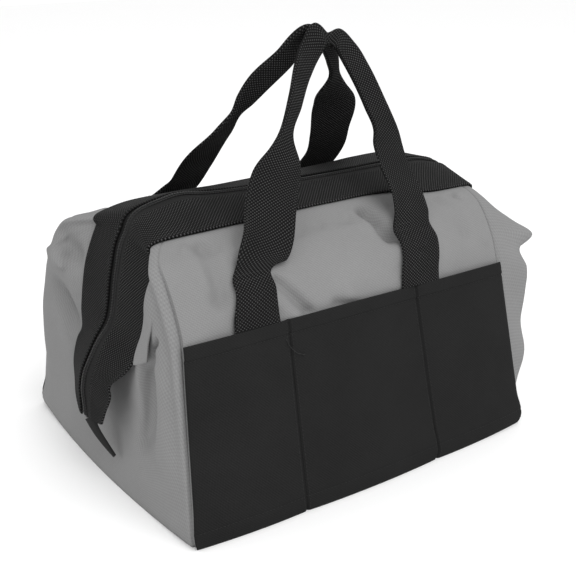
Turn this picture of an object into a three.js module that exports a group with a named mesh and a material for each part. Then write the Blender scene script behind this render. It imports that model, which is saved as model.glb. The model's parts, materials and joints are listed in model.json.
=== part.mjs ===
// A zip-top tool bag: grey cloth walls on a black base, a black pocket panel on each long side,
// webbing bands beside a zip that runs along the ridge and bends down both ends, and two handles.
// Millimetres. X runs along the bag, Y from front to back, Z up. The origin is under the base's middle.
import * as THREE from "three";

// Driving sizes of the body
const baseLength = 327;
const baseDepth = 270;
const pocketHeight = 141;
const ridgeHeight = 208;
const pocketLean = 28; // how far a long side leans in at the top of its pocket
const seamLean = 11.5; // how far a corner seam leans in along the bag at that height
const sideBow = 6; // how far a long side bows out at the floor
const endBow = 8; // how far an end bows out at the floor
const foldReach = 10; // the folds of the cloth are shares of this depth

// Cloth, webbing and zip
const wall = 1.4;
const pocketCloth = 1.6;
const pocketFullness = 1.6; // how far a pocket section stands off the wall behind it
const cornerTuck = 2; // how far the corners are rounded in at the floor
const seamGroove = 0.7;
const seamGrooveWidth = 5;
const baseThickness = 2.4;
const webbingWidth = 38;
const webbingThickness = 1.8;
const tapeShown = 7.5; // zip tape seen between the coil and the webbing
const tapeTucked = 4; // zip tape under the webbing
const tapeThickness = 0.8;
const hemTucked = 8; // cloth under the webbing
const coilWidth = 5.6;
const coilHeight = 2.4;
const gap = 0.3;

// Pocket seams and handles
const pocketSeamLeft = -69.7;
const pocketSeamRight = 61;
const handleSpacing = 153;
const handleShift = -14.5; // how far the front handle sits to the left of the middle
const creaseRise = 33; // sewn foot of a handle above the pocket's top
const rightCreaseRise = 41; // the same at the front handle's right foot
const neckHeight = 320.6;
const neckX = 46;
const neckSpread = 8.5; // from one handle's middle to the other's at the neck
const gripThickness = 4.4;
const footSeat = 1.1; // room under a handle's foot for the swell of the wall

const halfLength = baseLength / 2;
const halfDepth = baseDepth / 2;
const bandReach = coilWidth / 2 + gap + tapeShown + webbingWidth;

const grey = new THREE.MeshStandardMaterial({ color: 0x8c8c8c, roughness: 0.9, metalness: 0 });
const black = new THREE.MeshStandardMaterial({ color: 0x242424, roughness: 0.85, metalness: 0 });
const webbing = new THREE.MeshStandardMaterial({ color: 0x2e2e2e, roughness: 0.8, metalness: 0 });
const zipCloth = new THREE.MeshStandardMaterial({ color: 0x1c1c1c, roughness: 0.8, metalness: 0 });
const coilPlastic = new THREE.MeshStandardMaterial({ color: 0x161616, roughness: 0.45, metalness: 0 });
const sliderMetal = new THREE.MeshStandardMaterial({ color: 0x2a2a2a, roughness: 0.4, metalness: 0.6 });

const group = new THREE.Group();

const mix = (a, b, share) => a + (b - a) * share;
const smooth = (share) => {
  const held = Math.min(1, Math.max(0, share));
  return held * held * (3 - 2 * held);
};
const point = (x, y, z) => new THREE.Vector3(x, y, z);
const mirrorY = (p) => point(p.x, -p.y, p.z);

// The value of one column of a table at a place on its first column, on a smooth curve through the rows.
function readTable(rows, key, column, place) {
  let i = 0;
  while (i < rows.length - 2 && place > rows[i + 1][key]) i += 1;
  const rate = (k) => (rows[k + 1][column] - rows[k][column]) / (rows[k + 1][key] - rows[k][key]);
  const slope = (k) => {
    if (k === 0) return rate(0);
    if (k === rows.length - 1) return rate(k - 1);
    const before = rows[k][key] - rows[k - 1][key];
    const after = rows[k + 1][key] - rows[k][key];
    return (rate(k - 1) * after + rate(k) * before) / (before + after);
  };
  const width = rows[i + 1][key] - rows[i][key];
  const t = (place - rows[i][key]) / width;
  const a = rows[i][column];
  const b = rows[i + 1][column];
  const bend = t * (1 - t) * width;
  return mix(a, b, t * t * (3 - 2 * t)) + bend * ((1 - t) * slope(i) - t * slope(i + 1));
}

// Makes a mesh from points and triangles, with its faces turned out.
function addSolid(name, points, triangles, material) {
  let volume = 0;
  for (const [a, b, c] of triangles) {
    volume += points[a].dot(points[b].clone().cross(points[c]));
  }
  const faces = volume < 0 ? triangles.map(([a, b, c]) => [a, c, b]) : triangles;
  const geometry = new THREE.BufferGeometry().setFromPoints(points);
  geometry.setIndex(faces.flat());
  geometry.computeVertexNormals();
  const mesh = new THREE.Mesh(geometry, material);
  mesh.name = name;
  group.add(mesh);
}

// The outward direction at each point of a grid of columns and rows.
function gridNormals(grid, closed) {
  const columns = grid.length;
  return grid.map((column, i) =>
    column.map((_, j) => {
      const before = closed ? (i + columns - 1) % columns : Math.max(0, i - 1);
      const after = closed ? (i + 1) % columns : Math.min(columns - 1, i + 1);
      const low = Math.max(0, j - 1);
      const high = Math.min(column.length - 1, j + 1);
      const along = grid[after][j].clone().sub(grid[before][j]);
      const up = column[high].clone().sub(column[low]);
      return along.cross(up).normalize();
    }),
  );
}

// A sheet of cloth between two grids of points, closed round its four edges.
function addSheet(name, outer, inner, material) {
  const columns = outer.length;
  const rows = outer[0].length;
  const points = [...outer.flat(), ...inner.flat()];
  const top = (i, j) => i * rows + j;
  const under = (i, j) => columns * rows + i * rows + j;
  const triangles = [];
  const quad = (a, b, c, d) => triangles.push([a, b, c], [a, c, d]);
  for (let i = 0; i < columns - 1; i += 1) {
    for (let j = 0; j < rows - 1; j += 1) {
      quad(top(i, j), top(i + 1, j), top(i + 1, j + 1), top(i, j + 1));
      quad(under(i, j), under(i, j + 1), under(i + 1, j + 1), under(i + 1, j));
    }
    quad(top(i, 0), under(i, 0), under(i + 1, 0), top(i + 1, 0));
    quad(top(i, rows - 1), top(i + 1, rows - 1), under(i + 1, rows - 1), under(i, rows - 1));
  }
  for (let j = 0; j < rows - 1; j += 1) {
    quad(top(0, j), top(0, j + 1), under(0, j + 1), under(0, j));
    quad(top(columns - 1, j), under(columns - 1, j), under(columns - 1, j + 1), top(columns - 1, j + 1));
  }
  addSolid(name, points, triangles, material);
}

const offsetGrid = (grid, normals, distance) =>
  grid.map((column, i) => column.map((p, j) => p.clone().addScaledVector(normals[i][j], distance)));

// A strip along a path. Each station has a place, a width, a thickness and the direction that it faces.
// The section is a flat octagon, or a round one.
function addStrip(name, stations, round, material) {
  const points = [];
  const sectionSteps = 8;
  stations.forEach((station, i) => {
    const before = stations[Math.max(0, i - 1)].place;
    const after = stations[Math.min(stations.length - 1, i + 1)].place;
    const ahead = station.ahead ?? after.clone().sub(before).normalize();
    const face = station.faces.clone().addScaledVector(ahead, -station.faces.dot(ahead)).normalize();
    const side = ahead.clone().cross(face);
    const halfWidth = station.width / 2;
    const halfThickness = station.thickness / 2;
    const bevel = Math.min(halfWidth, halfThickness) * 0.6;
    for (let k = 0; k < sectionSteps; k += 1) {
      const angle = ((k + 0.5) / sectionSteps) * 2 * Math.PI;
      const across = round
        ? halfWidth * Math.cos(angle)
        : Math.sign(Math.cos(angle)) * (halfWidth - (k % 4 === 0 || k % 4 === 3 ? 0 : bevel));
      const off = round
        ? halfThickness * Math.sin(angle)
        : Math.sign(Math.sin(angle)) * (halfThickness - (k % 4 === 1 || k % 4 === 2 ? 0 : bevel));
      points.push(station.place.clone().addScaledVector(side, across).addScaledVector(face, off));
    }
  });
  const triangles = [];
  for (let i = 0; i < stations.length - 1; i += 1) {
    for (let k = 0; k < sectionSteps; k += 1) {
      const a = i * sectionSteps + k;
      const b = i * sectionSteps + ((k + 1) % sectionSteps);
      triangles.push([a, b, b + sectionSteps], [a, b + sectionSteps, a + sectionSteps]);
    }
  }
  const last = (stations.length - 1) * sectionSteps;
  for (let k = 1; k < sectionSteps - 1; k += 1) {
    triangles.push([0, k + 1, k], [last, last + k, last + k + 1]);
  }
  addSolid(name, points, triangles, material);
}

// The zip's coil and the outer edges of the bands beside it. The way runs from -2 at the hanging left end
// through -1 where the left opening ends, 0 and 1 at the corners of the ridge and 2 where the right opening
// ends, to 3 at the hanging right end. X is a share of half the length, Y of the band's reach and Z of the
// ridge's height.
const zipColumns = ["way", "coilX", "coilZ", "frontX", "frontY", "frontZ", "backX", "backY", "backZ"];
const zipLine = [
  [-2, -1.092, 0.245, -1.076, 0.52, 0.264, -1.089, 0.17, 0.25],
  [-1.8, -1.095, 0.298, -1.064, 0.58, 0.313, -1.073, 0.39, 0.29],
  [-1.5, -1.095, 0.375, -1.046, 0.67, 0.38, -1.04, 0.65, 0.335],
  [-1.3, -1.076, 0.433, -1.031, 0.62, 0.423, -0.997, 0.97, 0.385],
  [-1.15, -1.04, 0.486, -0.997, 0.93, 0.49, -0.96, 1.08, 0.442],
  [-1, -1.003, 0.534, -0.963, 1.05, 0.546, -0.948, 0.93, 0.5],
  [-0.8, -0.936, 0.601, -0.93, 1.06, 0.615, -0.942, 0.93, 0.587],
  [-0.5, -0.89, 0.779, -0.872, 1.01, 0.769, -0.899, 0.97, 0.76],
  [-0.2, -0.838, 0.913, -0.835, 0.96, 0.885, -0.838, 0.93, 0.894],
  [0, -0.746, 1, -0.801, 0.94, 0.94, -0.798, 0.96, 0.938],
  [0.06, -0.673, 1.014, -0.685, 0.95, 0.945, -0.69, 0.99, 0.952],
  [0.13, -0.56, 1.028, -0.56, 0.96, 0.948, -0.57, 1, 0.958],
  [0.22, -0.4, 1.014, -0.4, 0.97, 0.952, -0.41, 1, 0.957],
  [0.5, 0.092, 1.001, 0.092, 1, 0.964, 0.092, 1, 0.96],
  [0.75, 0.526, 1.002, 0.514, 1.02, 0.957, 0.526, 1, 0.968],
  [0.86, 0.722, 1.003, 0.709, 1.12, 0.938, 0.722, 1, 0.975],
  [0.95, 0.93, 1, 0.869, 1.17, 0.938, 0.93, 1, 0.975],
  [1, 1.028, 0.983, 0.954, 1.18, 0.938, 1.04, 1, 0.964],
  [1.2, 1.076, 0.913, 0.979, 1.08, 0.88, 1.076, 1, 0.899],
  [1.5, 1.076, 0.779, 0.997, 1.01, 0.769, 1.064, 1, 0.769],
  [1.8, 1.083, 0.611, 1.028, 1.04, 0.615, 1.052, 0.95, 0.596],
  [2, 1.119, 0.534, 1.058, 1.04, 0.543, 1.064, 0.93, 0.51],
  [2.15, 1.15, 0.486, 1.089, 0.93, 0.49, 1.089, 1, 0.457],
  [2.3, 1.174, 0.433, 1.119, 0.65, 0.423, 1.113, 0.91, 0.404],
  [2.5, 1.187, 0.375, 1.138, 0.65, 0.38, 1.144, 0.65, 0.346],
  [2.8, 1.187, 0.298, 1.156, 0.58, 0.313, 1.162, 0.39, 0.293],
  [3, 1.18, 0.245, 1.168, 0.5, 0.264, 1.174, 0.17, 0.25],
].map((row) => Object.fromEntries(zipColumns.map((name, i) => [name, row[i]])));

// The coil's middle line and one outer edge of the webbing, at a place on the way.
function bandAt(way, edge) {
  const read = (column) => readTable(zipLine, "way", column, way);
  const outward = edge === "front" ? -1 : 1;
  return {
    coil: point(read("coilX") * halfLength, 0, read("coilZ") * ridgeHeight),
    side: point(
      read(edge + "X") * halfLength,
      outward * read(edge + "Y") * bandReach,
      read(edge + "Z") * ridgeHeight,
    ),
  };
}

// A point of the band: 0 across is the coil's middle line, 1 the outer edge of the webbing.
function bandPoint(way, across, edge) {
  const { coil, side } = bandAt(way, edge);
  return coil.clone().lerp(side, across);
}
// The share across the band that lies a distance from the coil's middle line.
function bandShare(way, edge, distance) {
  const { coil, side } = bandAt(way, edge);
  return distance / coil.distanceTo(side);
}

const ridgeSteps = 16;
const endSteps = 6;
const range = (from, to, steps) => Array.from({ length: steps + 1 }, (_, i) => mix(from, to, i / steps));
const ways = [
  ...range(-2, -1, endSteps),
  ...range(-1, 0, endSteps).slice(1),
  ...range(0, 1, ridgeSteps).slice(1),
  ...range(1, 2, endSteps).slice(1),
  ...range(2, 3, endSteps).slice(1),
];

// The rows of the walls, from the floor to the tucked hem. Below the pocket's top the row is a share of the
// pocket's height; above it the rise, the run towards the ridge and the runs along the bag are shares of
// what is left to the band's corner.
const lowRows = [0, 0.03, 0.2, 0.42, 0.64, 0.84, 1];
const highRows = [
  { rise: 0.35, run: 0.13, leftRun: 0.02, rightRun: 0 },
  { rise: 0.495, run: 0.217, leftRun: 0.04, rightRun: 0 },
  { rise: 0.69, run: 0.35, leftRun: 0.07, rightRun: 0 },
  { rise: 0.853, run: 0.517, leftRun: 0.14, rightRun: 0.1 },
  { rise: 0.945, run: 0.75, leftRun: 0.5, rightRun: 0.6 },
];
const edgeRow = lowRows.length + highRows.length;
const hemRow = edgeRow + 1;

// A corner seam at one row.
function cornerSeam(row, end, edge) {
  const corner = bandPoint(end < 0 ? 0 : 1, 1, edge);
  const outward = edge === "front" ? -1 : 1;
  if (row >= edgeRow) return corner;
  if (row < lowRows.length) {
    const share = lowRows[row];
    const tuck = row === 0 ? cornerTuck : 0;
    const x = end * (halfLength - seamLean * share - tuck);
    return point(x, outward * (halfDepth - pocketLean * share - tuck), pocketHeight * share);
  }
  const { rise, run, leftRun, rightRun } = highRows[row - lowRows.length];
  const top = cornerSeam(lowRows.length - 1, end, edge);
  const along = end < 0 ? leftRun : rightRun;
  return point(mix(top.x, corner.x, along), mix(top.y, corner.y, run), mix(top.z, corner.z, rise));
}

const seamShare = [];
{
  let length = 0;
  for (let row = 0; row <= edgeRow; row += 1) {
    if (row > 0) length += cornerSeam(row, -1, "front").distanceTo(cornerSeam(row - 1, -1, "front"));
    seamShare.push(length);
  }
  seamShare.forEach((value, row) => {
    seamShare[row] = value / length;
  });
}

// Folds and swellings of the walls. Across and up are places on the panel from 0 to 1, wide and tall the
// spread; out, aside and lift are shares of the fold reach, with aside counted away from the panel's middle.
const sideFolds = [
  { across: 0.22, up: 0.72, wide: 0.13, tall: 0.07, out: 0.45, aside: 0, lift: 0.2 },
  { across: 0.71, up: 0.73, wide: 0.13, tall: 0.07, out: 0.6, aside: 0, lift: 0.25 },
  { across: 0.48, up: 0.72, wide: 0.12, tall: 0.1, out: -0.15, aside: 0, lift: 0 },
];
const leftFolds = [
  { across: 0.11, up: 0.5, wide: 0.06, tall: 0.25, out: 0.65, aside: 0, lift: 0 },
  { across: 0.21, up: 0.56, wide: 0.06, tall: 0.2, out: -1.2, aside: 0, lift: 0 },
  { across: 0.5, up: 0.55, wide: 0.2, tall: 0.35, out: -0.6, aside: 0, lift: 0 },
  { across: 0.1, up: 0.83, wide: 0.07, tall: 0.07, out: 0.4, aside: 0.1, lift: 0 },
  { across: 0.9, up: 0.78, wide: 0.07, tall: 0.1, out: 0.7, aside: 0.1, lift: -0.4 },
  { across: 0.81, up: 0.73, wide: 0.06, tall: 0.06, out: -1.1, aside: 0, lift: 0 },
  { across: 0.92, up: 0.5, wide: 0.08, tall: 0.25, out: 0.9, aside: 0.1, lift: 0 },
  { across: 0.7, up: 0.82, wide: 0.1, tall: 0.16, out: -1, aside: 0, lift: 0 },
];
const rightFolds = [
  { across: 0.07, up: 0.17, wide: 0.1, tall: 0.14, out: 0.8, aside: 0.3, lift: 0 },
  { across: 0.07, up: 0.36, wide: 0.1, tall: 0.17, out: 2.1, aside: 0.9, lift: 0 },
  { across: 0.06, up: 0.57, wide: 0.09, tall: 0.1, out: 2.9, aside: 1.7, lift: 0 },
  { across: 0.07, up: 0.74, wide: 0.09, tall: 0.06, out: 3.4, aside: 1.4, lift: 0 },
  { across: 0.08, up: 0.84, wide: 0.1, tall: 0.08, out: 1.9, aside: 0.7, lift: 0 },
  { across: 0.27, up: 0.45, wide: 0.1, tall: 0.18, out: -1, aside: 0, lift: 0 },
  { across: 0.93, up: 0.5, wide: 0.09, tall: 0.22, out: 1.5, aside: 0.6, lift: 0 },
  { across: 0.92, up: 0.78, wide: 0.08, tall: 0.08, out: 1.5, aside: 0.6, lift: 0 },
  { across: 0.72, up: 0.45, wide: 0.1, tall: 0.18, out: -1, aside: 0, lift: 0 },
];

// How far the folds move a point: out of the wall, away from the panel's middle, and up.
function foldAt(folds, across, up) {
  const still = smooth(Math.min(across, 1 - across) / 0.07) * smooth((1 - up) / 0.12) * smooth(up / 0.1);
  const sum = { out: 0, aside: 0, lift: 0 };
  for (const fold of folds) {
    const sideways = (across - fold.across) / fold.wide;
    const upwards = (up - fold.up) / fold.tall;
    const strength = still * foldReach * Math.exp(-sideways * sideways - upwards * upwards);
    sum.out += strength * fold.out;
    sum.aside += strength * fold.aside * Math.sign(across - 0.5);
    sum.lift += strength * fold.lift;
  }
  return sum;
}

// A point of a long wall. Across runs from the left seam to the right one. The back wall has the front's
// folds in the opposite order, because its handle sits to the other side.
function sidePoint(across, row, edge) {
  if (row === edgeRow) return bandPoint(across, 1, edge);
  if (row === hemRow) return bandPoint(across, 1 - hemTucked / bandReach, edge);
  const outward = edge === "front" ? -1 : 1;
  const p = cornerSeam(row, -1, edge).lerp(cornerSeam(row, 1, edge), across);
  const share = row < lowRows.length ? lowRows[row] : 1;
  const bow = 4 * across * (1 - across) * sideBow * (1 - share);
  const fold = foldAt(sideFolds, edge === "front" ? across : 1 - across, seamShare[row]);
  return point(p.x - outward * fold.aside, p.y + outward * (bow + fold.out), p.z + fold.lift);
}

// A point of an end wall. Across runs from the front seam to the back one. The top edge follows the front
// band down, crosses below the end of the opening and follows the back band up again.
const openingShare = 0.3;
const seamPull = 0.42;
const crossingTuck = 5; // how far the wall below the opening sits behind the zip
function endPoint(across, row, end) {
  const wayAt = (share) => (end < 0 ? -share : 1 + share);
  const turnWay = wayAt(1);
  const edgePoint = (place, depth) => {
    if (place <= openingShare) return bandPoint(wayAt(place / openingShare), depth, "front");
    if (place >= 1 - openingShare) return bandPoint(wayAt((1 - place) / openingShare), depth, "back");
    const crossing = (place - openingShare) / (1 - 2 * openingShare);
    const from = bandPoint(turnWay, depth, "front");
    const to = bandPoint(turnWay, depth, "back");
    const middle = Math.sin(Math.PI * crossing);
    const hang = middle * (depth < 1 ? hemTucked : -hemTucked / 2);
    return from.lerp(to, crossing).add(point(-end * middle * crossingTuck, 0, hang));
  };
  if (row === hemRow) return edgePoint(across, 1 - hemTucked / bandReach);
  const up = seamShare[row];
  const floorAt = (place) => {
    const floor = cornerSeam(0, end, "front");
    const bow = 4 * place * (1 - place) * endBow;
    return point(floor.x + end * bow, mix(floor.y, -floor.y, place), 0);
  };
  const p = floorAt(across).lerp(edgePoint(across, 1), up);
  for (const [edge, place] of [["front", 0], ["back", 1]]) {
    // Near a seam the wall follows it, and further in it runs straight from the floor to the band.
    const straight = floorAt(place).lerp(edgePoint(place, 1), up);
    const near = 1 - smooth(Math.abs(across - place) / seamPull);
    p.addScaledVector(cornerSeam(row, end, edge).sub(straight), near);
  }
  const fold = foldAt(end < 0 ? leftFolds : rightFolds, across, up);
  return point(p.x + end * fold.out, p.y + fold.aside, p.z + fold.lift);
}

// The four walls as one ring of columns, counted from the front left seam towards the right.
const endColumns = [
  ...range(0, openingShare, endSteps),
  ...range(openingShare, 1 - openingShare, 8).slice(1),
  ...range(1 - openingShare, 1, endSteps).slice(1),
];
const frontColumns = range(0, 1, ridgeSteps);
const rowsOfWall = range(0, hemRow, hemRow);
const column = (at) => rowsOfWall.map(at);
const frontGrid = frontColumns.map((across) => column((row) => sidePoint(across, row, "front")));
const rightGrid = endColumns.map((across) => column((row) => endPoint(across, row, 1)));
const backColumns = [...frontColumns].reverse();
const leftColumns = [...endColumns].reverse();
const backGrid = backColumns.map((across) => column((row) => sidePoint(across, row, "back")));
const leftGrid = leftColumns.map((across) => column((row) => endPoint(across, row, -1)));
const walls = [
  { name: "front_panel", grid: frontGrid },
  { name: "right_end", grid: rightGrid },
  { name: "back_panel", grid: backGrid },
  { name: "left_end", grid: leftGrid },
];
const ring = walls.flatMap(({ grid }) => grid.slice(0, -1));
const ringNormals = gridNormals(ring, true);
let start = 0;
for (const { name, grid } of walls) {
  const normals = grid.map((_, i) => ringNormals[(start + i) % ring.length]);
  start += grid.length - 1;
  const inner = offsetGrid(grid, normals, -wall);
  inner.forEach((points) => {
    points[0].z = 0;
  });
  // Each panel stops short of the seam, so that its neighbour has room.
  const trim = (layer) =>
    layer.map((points, i) => {
      if (i > 0 && i < layer.length - 1) return points;
      const inside = layer[i === 0 ? 1 : i - 1];
      return points.map((p, j) => {
        const away = inside[j].clone().sub(p);
        return p.clone().addScaledVector(away, gap / 2 / away.length());
      });
    });
  addSheet(name, trim(grid), trim(inner), grey);
}

// The base fills the ring of walls at the floor.
{
  const inset = wall + 5 * gap;
  const rim = ring.map((points, i) => points[0].clone().addScaledVector(ringNormals[i][0], -inset));
  const low = rim.map((p) => point(p.x, p.y, 0));
  const high = rim.map((p) => point(p.x, p.y, baseThickness));
  const count = rim.length;
  const points = [...low, ...high];
  const triangles = [];
  for (let i = 0; i < count; i += 1) {
    const next = (i + 1) % count;
    triangles.push([i, next, count + next], [i, count + next, count + i]);
  }
  for (let i = 1; i < count - 1; i += 1) {
    triangles.push([0, i + 1, i], [count, count + i, count + i + 1]);
  }
  addSolid("base_panel", points, triangles, black);
}

// Pocket panels: three sections that stand off the wall a little, drawn in at the seams between them.
const pocketAcross = (x) => (x + halfLength) / baseLength;
const pocketSeams = [0, pocketAcross(pocketSeamLeft), pocketAcross(pocketSeamRight), 1];
const grooveShare = seamGrooveWidth / 2 / baseLength;
const pocketColumns = [0.004];
pocketSeams.slice(1).forEach((seam, i) => {
  const from = pocketSeams[i];
  const last = i === pocketSeams.length - 2;
  pocketColumns.push(...range(from + grooveShare, seam - grooveShare, 4));
  pocketColumns.push(last ? 0.996 : seam);
});
function fullness(across) {
  const section = pocketSeams.findIndex((seam) => seam > across) - 1;
  const from = pocketSeams[section];
  const to = pocketSeams[section + 1];
  return pocketFullness * Math.sin((Math.PI * (across - from)) / (to - from));
}
const isSeam = (across) => pocketSeams.includes(across);
const pocketRows = range(0, lowRows.length - 1, lowRows.length - 1);
const pocketBack = pocketColumns.map((across) => pocketRows.map((row) => sidePoint(across, row, "front")));
const pocketNormals = gridNormals(pocketBack, false);
const pocketLayer = (extra, sunk) =>
  pocketBack.map((points, i) =>
    points.map((p, j) => {
      const across = pocketColumns[i];
      const seam = isSeam(across);
      const distance = gap + extra + (seam ? -sunk : fullness(across));
      const moved = p.clone().addScaledVector(pocketNormals[i][j], distance);
      moved.z = p.z;
      return moved;
    }),
  );
const pocketOuter = pocketLayer(pocketCloth, seamGroove);
const pocketInner = pocketLayer(0, 0);
addSheet("pocket_front", pocketOuter, pocketInner, black);
const mirrorGrid = (grid) => grid.map((points) => points.map(mirrorY));
addSheet("pocket_back", mirrorGrid(pocketOuter), mirrorGrid(pocketInner), black);

// Webbing bands and zip tapes, sheets on either side of the coil.
function addBand(name, edge, fromCoil, toCoil, under, thickness, steps, material) {
  const grid = ways.map((way) => {
    // Where the hanging ends are narrow, each strip keeps its share of the width.
    const from = Math.min(bandShare(way, edge, fromCoil), toCoil ? 0.4 : 0.66);
    const to = toCoil ? Math.min(bandShare(way, edge, toCoil), 0.85) : 1;
    return range(to, from, steps).map((share) => bandPoint(way, share, edge));
  });
  const facing = edge === "front" ? grid : [...grid].reverse();
  const normals = gridNormals(facing, false);
  const lower = offsetGrid(facing, normals, under);
  addSheet(name, offsetGrid(facing, normals, under + thickness), lower, material);
}
const tapeStart = coilWidth / 2 + 2 * gap;
const webbingStart = tapeStart + tapeShown;
const tapeDepth = tapeThickness + gap;
const tapeEnd = webbingStart + tapeTucked;
for (const edge of ["front", "back"]) {
  addBand("band_" + edge, edge, webbingStart, null, gap, webbingThickness, 3, webbing);
  addBand("tape_" + edge, edge, tapeStart, tapeEnd, -tapeDepth, tapeThickness, 1, zipCloth);
}

// The coil, and the narrow twisted tails that hang from its two ends.
const acrossBag = point(0, 1, 0);
function zipStation(place, ahead, width, thickness) {
  return { place, width, thickness, faces: ahead.clone().cross(acrossBag).normalize() };
}
const coilStations = ways.map((way, i) => {
  const before = bandPoint(ways[Math.max(0, i - 1)], 0, "front");
  const after = bandPoint(ways[Math.min(ways.length - 1, i + 1)], 0, "front");
  return zipStation(bandPoint(way, 0, "front"), after.sub(before), coilWidth, coilHeight);
});
addStrip("zip_coil", coilStations, true, coilPlastic);

const tailLength = 32;
const tailWidth = 13;
const tailThickness = 2;
const tailTable = [
  { along: 0, inward: 0.03, forward: 0.12, drop: 0, width: 1 },
  { along: 0.4, inward: 0.1, forward: 0.34, drop: 0.32, width: 0.75 },
  { along: 0.75, inward: 0.2, forward: 0.62, drop: 0.6, width: 0.55 },
  { along: 1, inward: 0.28, forward: 0.86, drop: 0.8, width: 0.3 },
];
for (const [name, way, end] of [["zip_tail_left", -2, -1], ["zip_tail_right", 3, 1]]) {
  const from = bandPoint(way, 0, "front");
  const clear = coilHeight / 2 + 4 * gap;
  const stations = range(0, 1, 8).map((along) => {
    const read = (key) => readTable(tailTable, "along", key, along) * tailLength;
    const place = point(from.x - end * read("inward"), -read("forward"), from.z - clear - read("drop"));
    return {
      place,
      width: readTable(tailTable, "along", "width", along) * tailWidth,
      thickness: tailThickness,
      faces: point(end, -0.3, 0),
    };
  });
  addStrip(name, stations, false, zipCloth);
}

// One plain slider on the coil, where the zip is shut at the right end.
{
  const sliderLength = 12;
  const sliderWidth = 8.5;
  const sliderHeight = 3;
  const way = 1.97;
  const low = bandPoint(way, 0, "front");
  const high = bandPoint(way - 0.1, 0, "front");
  const ahead = low.clone().sub(high).normalize();
  const faces = ahead.clone().cross(acrossBag).negate();
  const lift = coilHeight / 2 + gap + sliderHeight / 2;
  const outward = faces.x > 0 ? faces : faces.clone().negate();
  const middle = low.clone().addScaledVector(outward, lift);
  const shape = [
    { along: -0.5, width: 0.55, height: 0.6 },
    { along: -0.25, width: 1, height: 1 },
    { along: 0.15, width: 0.8, height: 1 },
    { along: 0.5, width: 0.6, height: 0.7 },
  ];
  const stations = shape.map(({ along, width, height }) => ({
    place: middle.clone().addScaledVector(ahead, along * sliderLength),
    width: width * sliderWidth,
    thickness: height * sliderHeight,
    faces: outward,
  }));
  addStrip("zip_slider", stations, false, sliderMetal);
}

// Handles. A strand rises from its crease to the neck: bow is a share of the handle's spacing, sag of the
// crease's depth, width of the webbing's width; folded is 1 where the webbing is doubled, turn in degrees.
const frontLeftStrand = [
  { rise: 0.04, bow: 0.062, sag: 0, width: 1, folded: 0, turn: 3 },
  { rise: 0.12, bow: 0.056, sag: 0, width: 1, folded: 0, turn: 8 },
  { rise: 0.27, bow: 0.005, sag: 0, width: 1, folded: 0, turn: 22 },
  { rise: 0.38, bow: -0.02, sag: 0, width: 0.96, folded: 0, turn: 22 },
  { rise: 0.48, bow: -0.012, sag: 0, width: 0.74, folded: 0.4, turn: -10 },
  { rise: 0.58, bow: -0.051, sag: 0, width: 0.38, folded: 1, turn: -35 },
  { rise: 0.72, bow: -0.067, sag: 0, width: 0.42, folded: 1, turn: -40 },
  { rise: 0.86, bow: -0.088, sag: 0, width: 0.48, folded: 1, turn: -30 },
  { rise: 0.96, bow: -0.08, sag: 0, width: 0.5, folded: 1, turn: -8 },
  { rise: 1.03, bow: -0.075, sag: 0.05, width: 0.5, folded: 1, turn: 0 },
];
const frontRightStrand = [
  { rise: 0.07, bow: 0.078, sag: 0, width: 0.95, folded: 0, turn: -5 },
  { rise: 0.15, bow: 0.098, sag: 0, width: 0.93, folded: 0, turn: -10 },
  { rise: 0.335, bow: 0.093, sag: 0, width: 0.93, folded: 0, turn: -14 },
  { rise: 0.42, bow: 0.106, sag: 0, width: 0.85, folded: 0.4, turn: -10 },
  { rise: 0.5, bow: 0.132, sag: 0, width: 0.62, folded: 1, turn: 0 },
  { rise: 0.633, bow: 0.133, sag: 0, width: 0.54, folded: 1, turn: 8 },
  { rise: 0.82, bow: 0.122, sag: 0, width: 0.53, folded: 1, turn: 8 },
  { rise: 0.93, bow: 0.1, sag: 0, width: 0.53, folded: 1, turn: 5 },
  { rise: 1.0, bow: 0.055, sag: 0.02, width: 0.48, folded: 1, turn: 0 },
];
const backLeftStrand = [
  { rise: 0.12, bow: 0.03, sag: -0.04, width: 1, folded: 0, turn: -8 },
  { rise: 0.352, bow: -0.09, sag: -0.13, width: 1, folded: 0, turn: -14 },
  { rise: 0.49, bow: -0.095, sag: -0.1, width: 0.74, folded: 0.4, turn: -24 },
  { rise: 0.59, bow: -0.118, sag: -0.08, width: 0.3, folded: 1, turn: -10 },
  { rise: 0.67, bow: -0.135, sag: -0.06, width: 0.42, folded: 1, turn: 18 },
  { rise: 0.757, bow: -0.148, sag: -0.046, width: 0.5, folded: 1, turn: 33 },
  { rise: 0.894, bow: -0.125, sag: -0.026, width: 0.5, folded: 1, turn: 28 },
  { rise: 1.02, bow: -0.085, sag: 0.05, width: 0.5, folded: 1, turn: 4 },
];
const backRightStrand = [
  { rise: 0.141, bow: 0.1, sag: -0.04, width: 1, folded: 0, turn: 4 },
  { rise: 0.26, bow: 0.13, sag: -0.09, width: 1, folded: 0, turn: 8 },
  { rise: 0.38, bow: 0.13, sag: -0.1, width: 1, folded: 0, turn: 10 },
  { rise: 0.592, bow: 0.14, sag: -0.06, width: 1, folded: 0, turn: 14 },
  { rise: 0.68, bow: 0.11, sag: -0.05, width: 0.72, folded: 0.4, turn: 0 },
  { rise: 0.765, bow: 0.118, sag: -0.04, width: 0.32, folded: 1, turn: -20 },
  { rise: 0.862, bow: 0.098, sag: -0.02, width: 0.32, folded: 1, turn: -20 },
  { rise: 0.937, bow: 0.06, sag: -0.01, width: 0.32, folded: 1, turn: -20 },
];
const neckWidth = 0.25;
const strandTilt = 30; // how far the webbing's face looks up where it leans in, in degrees

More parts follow.
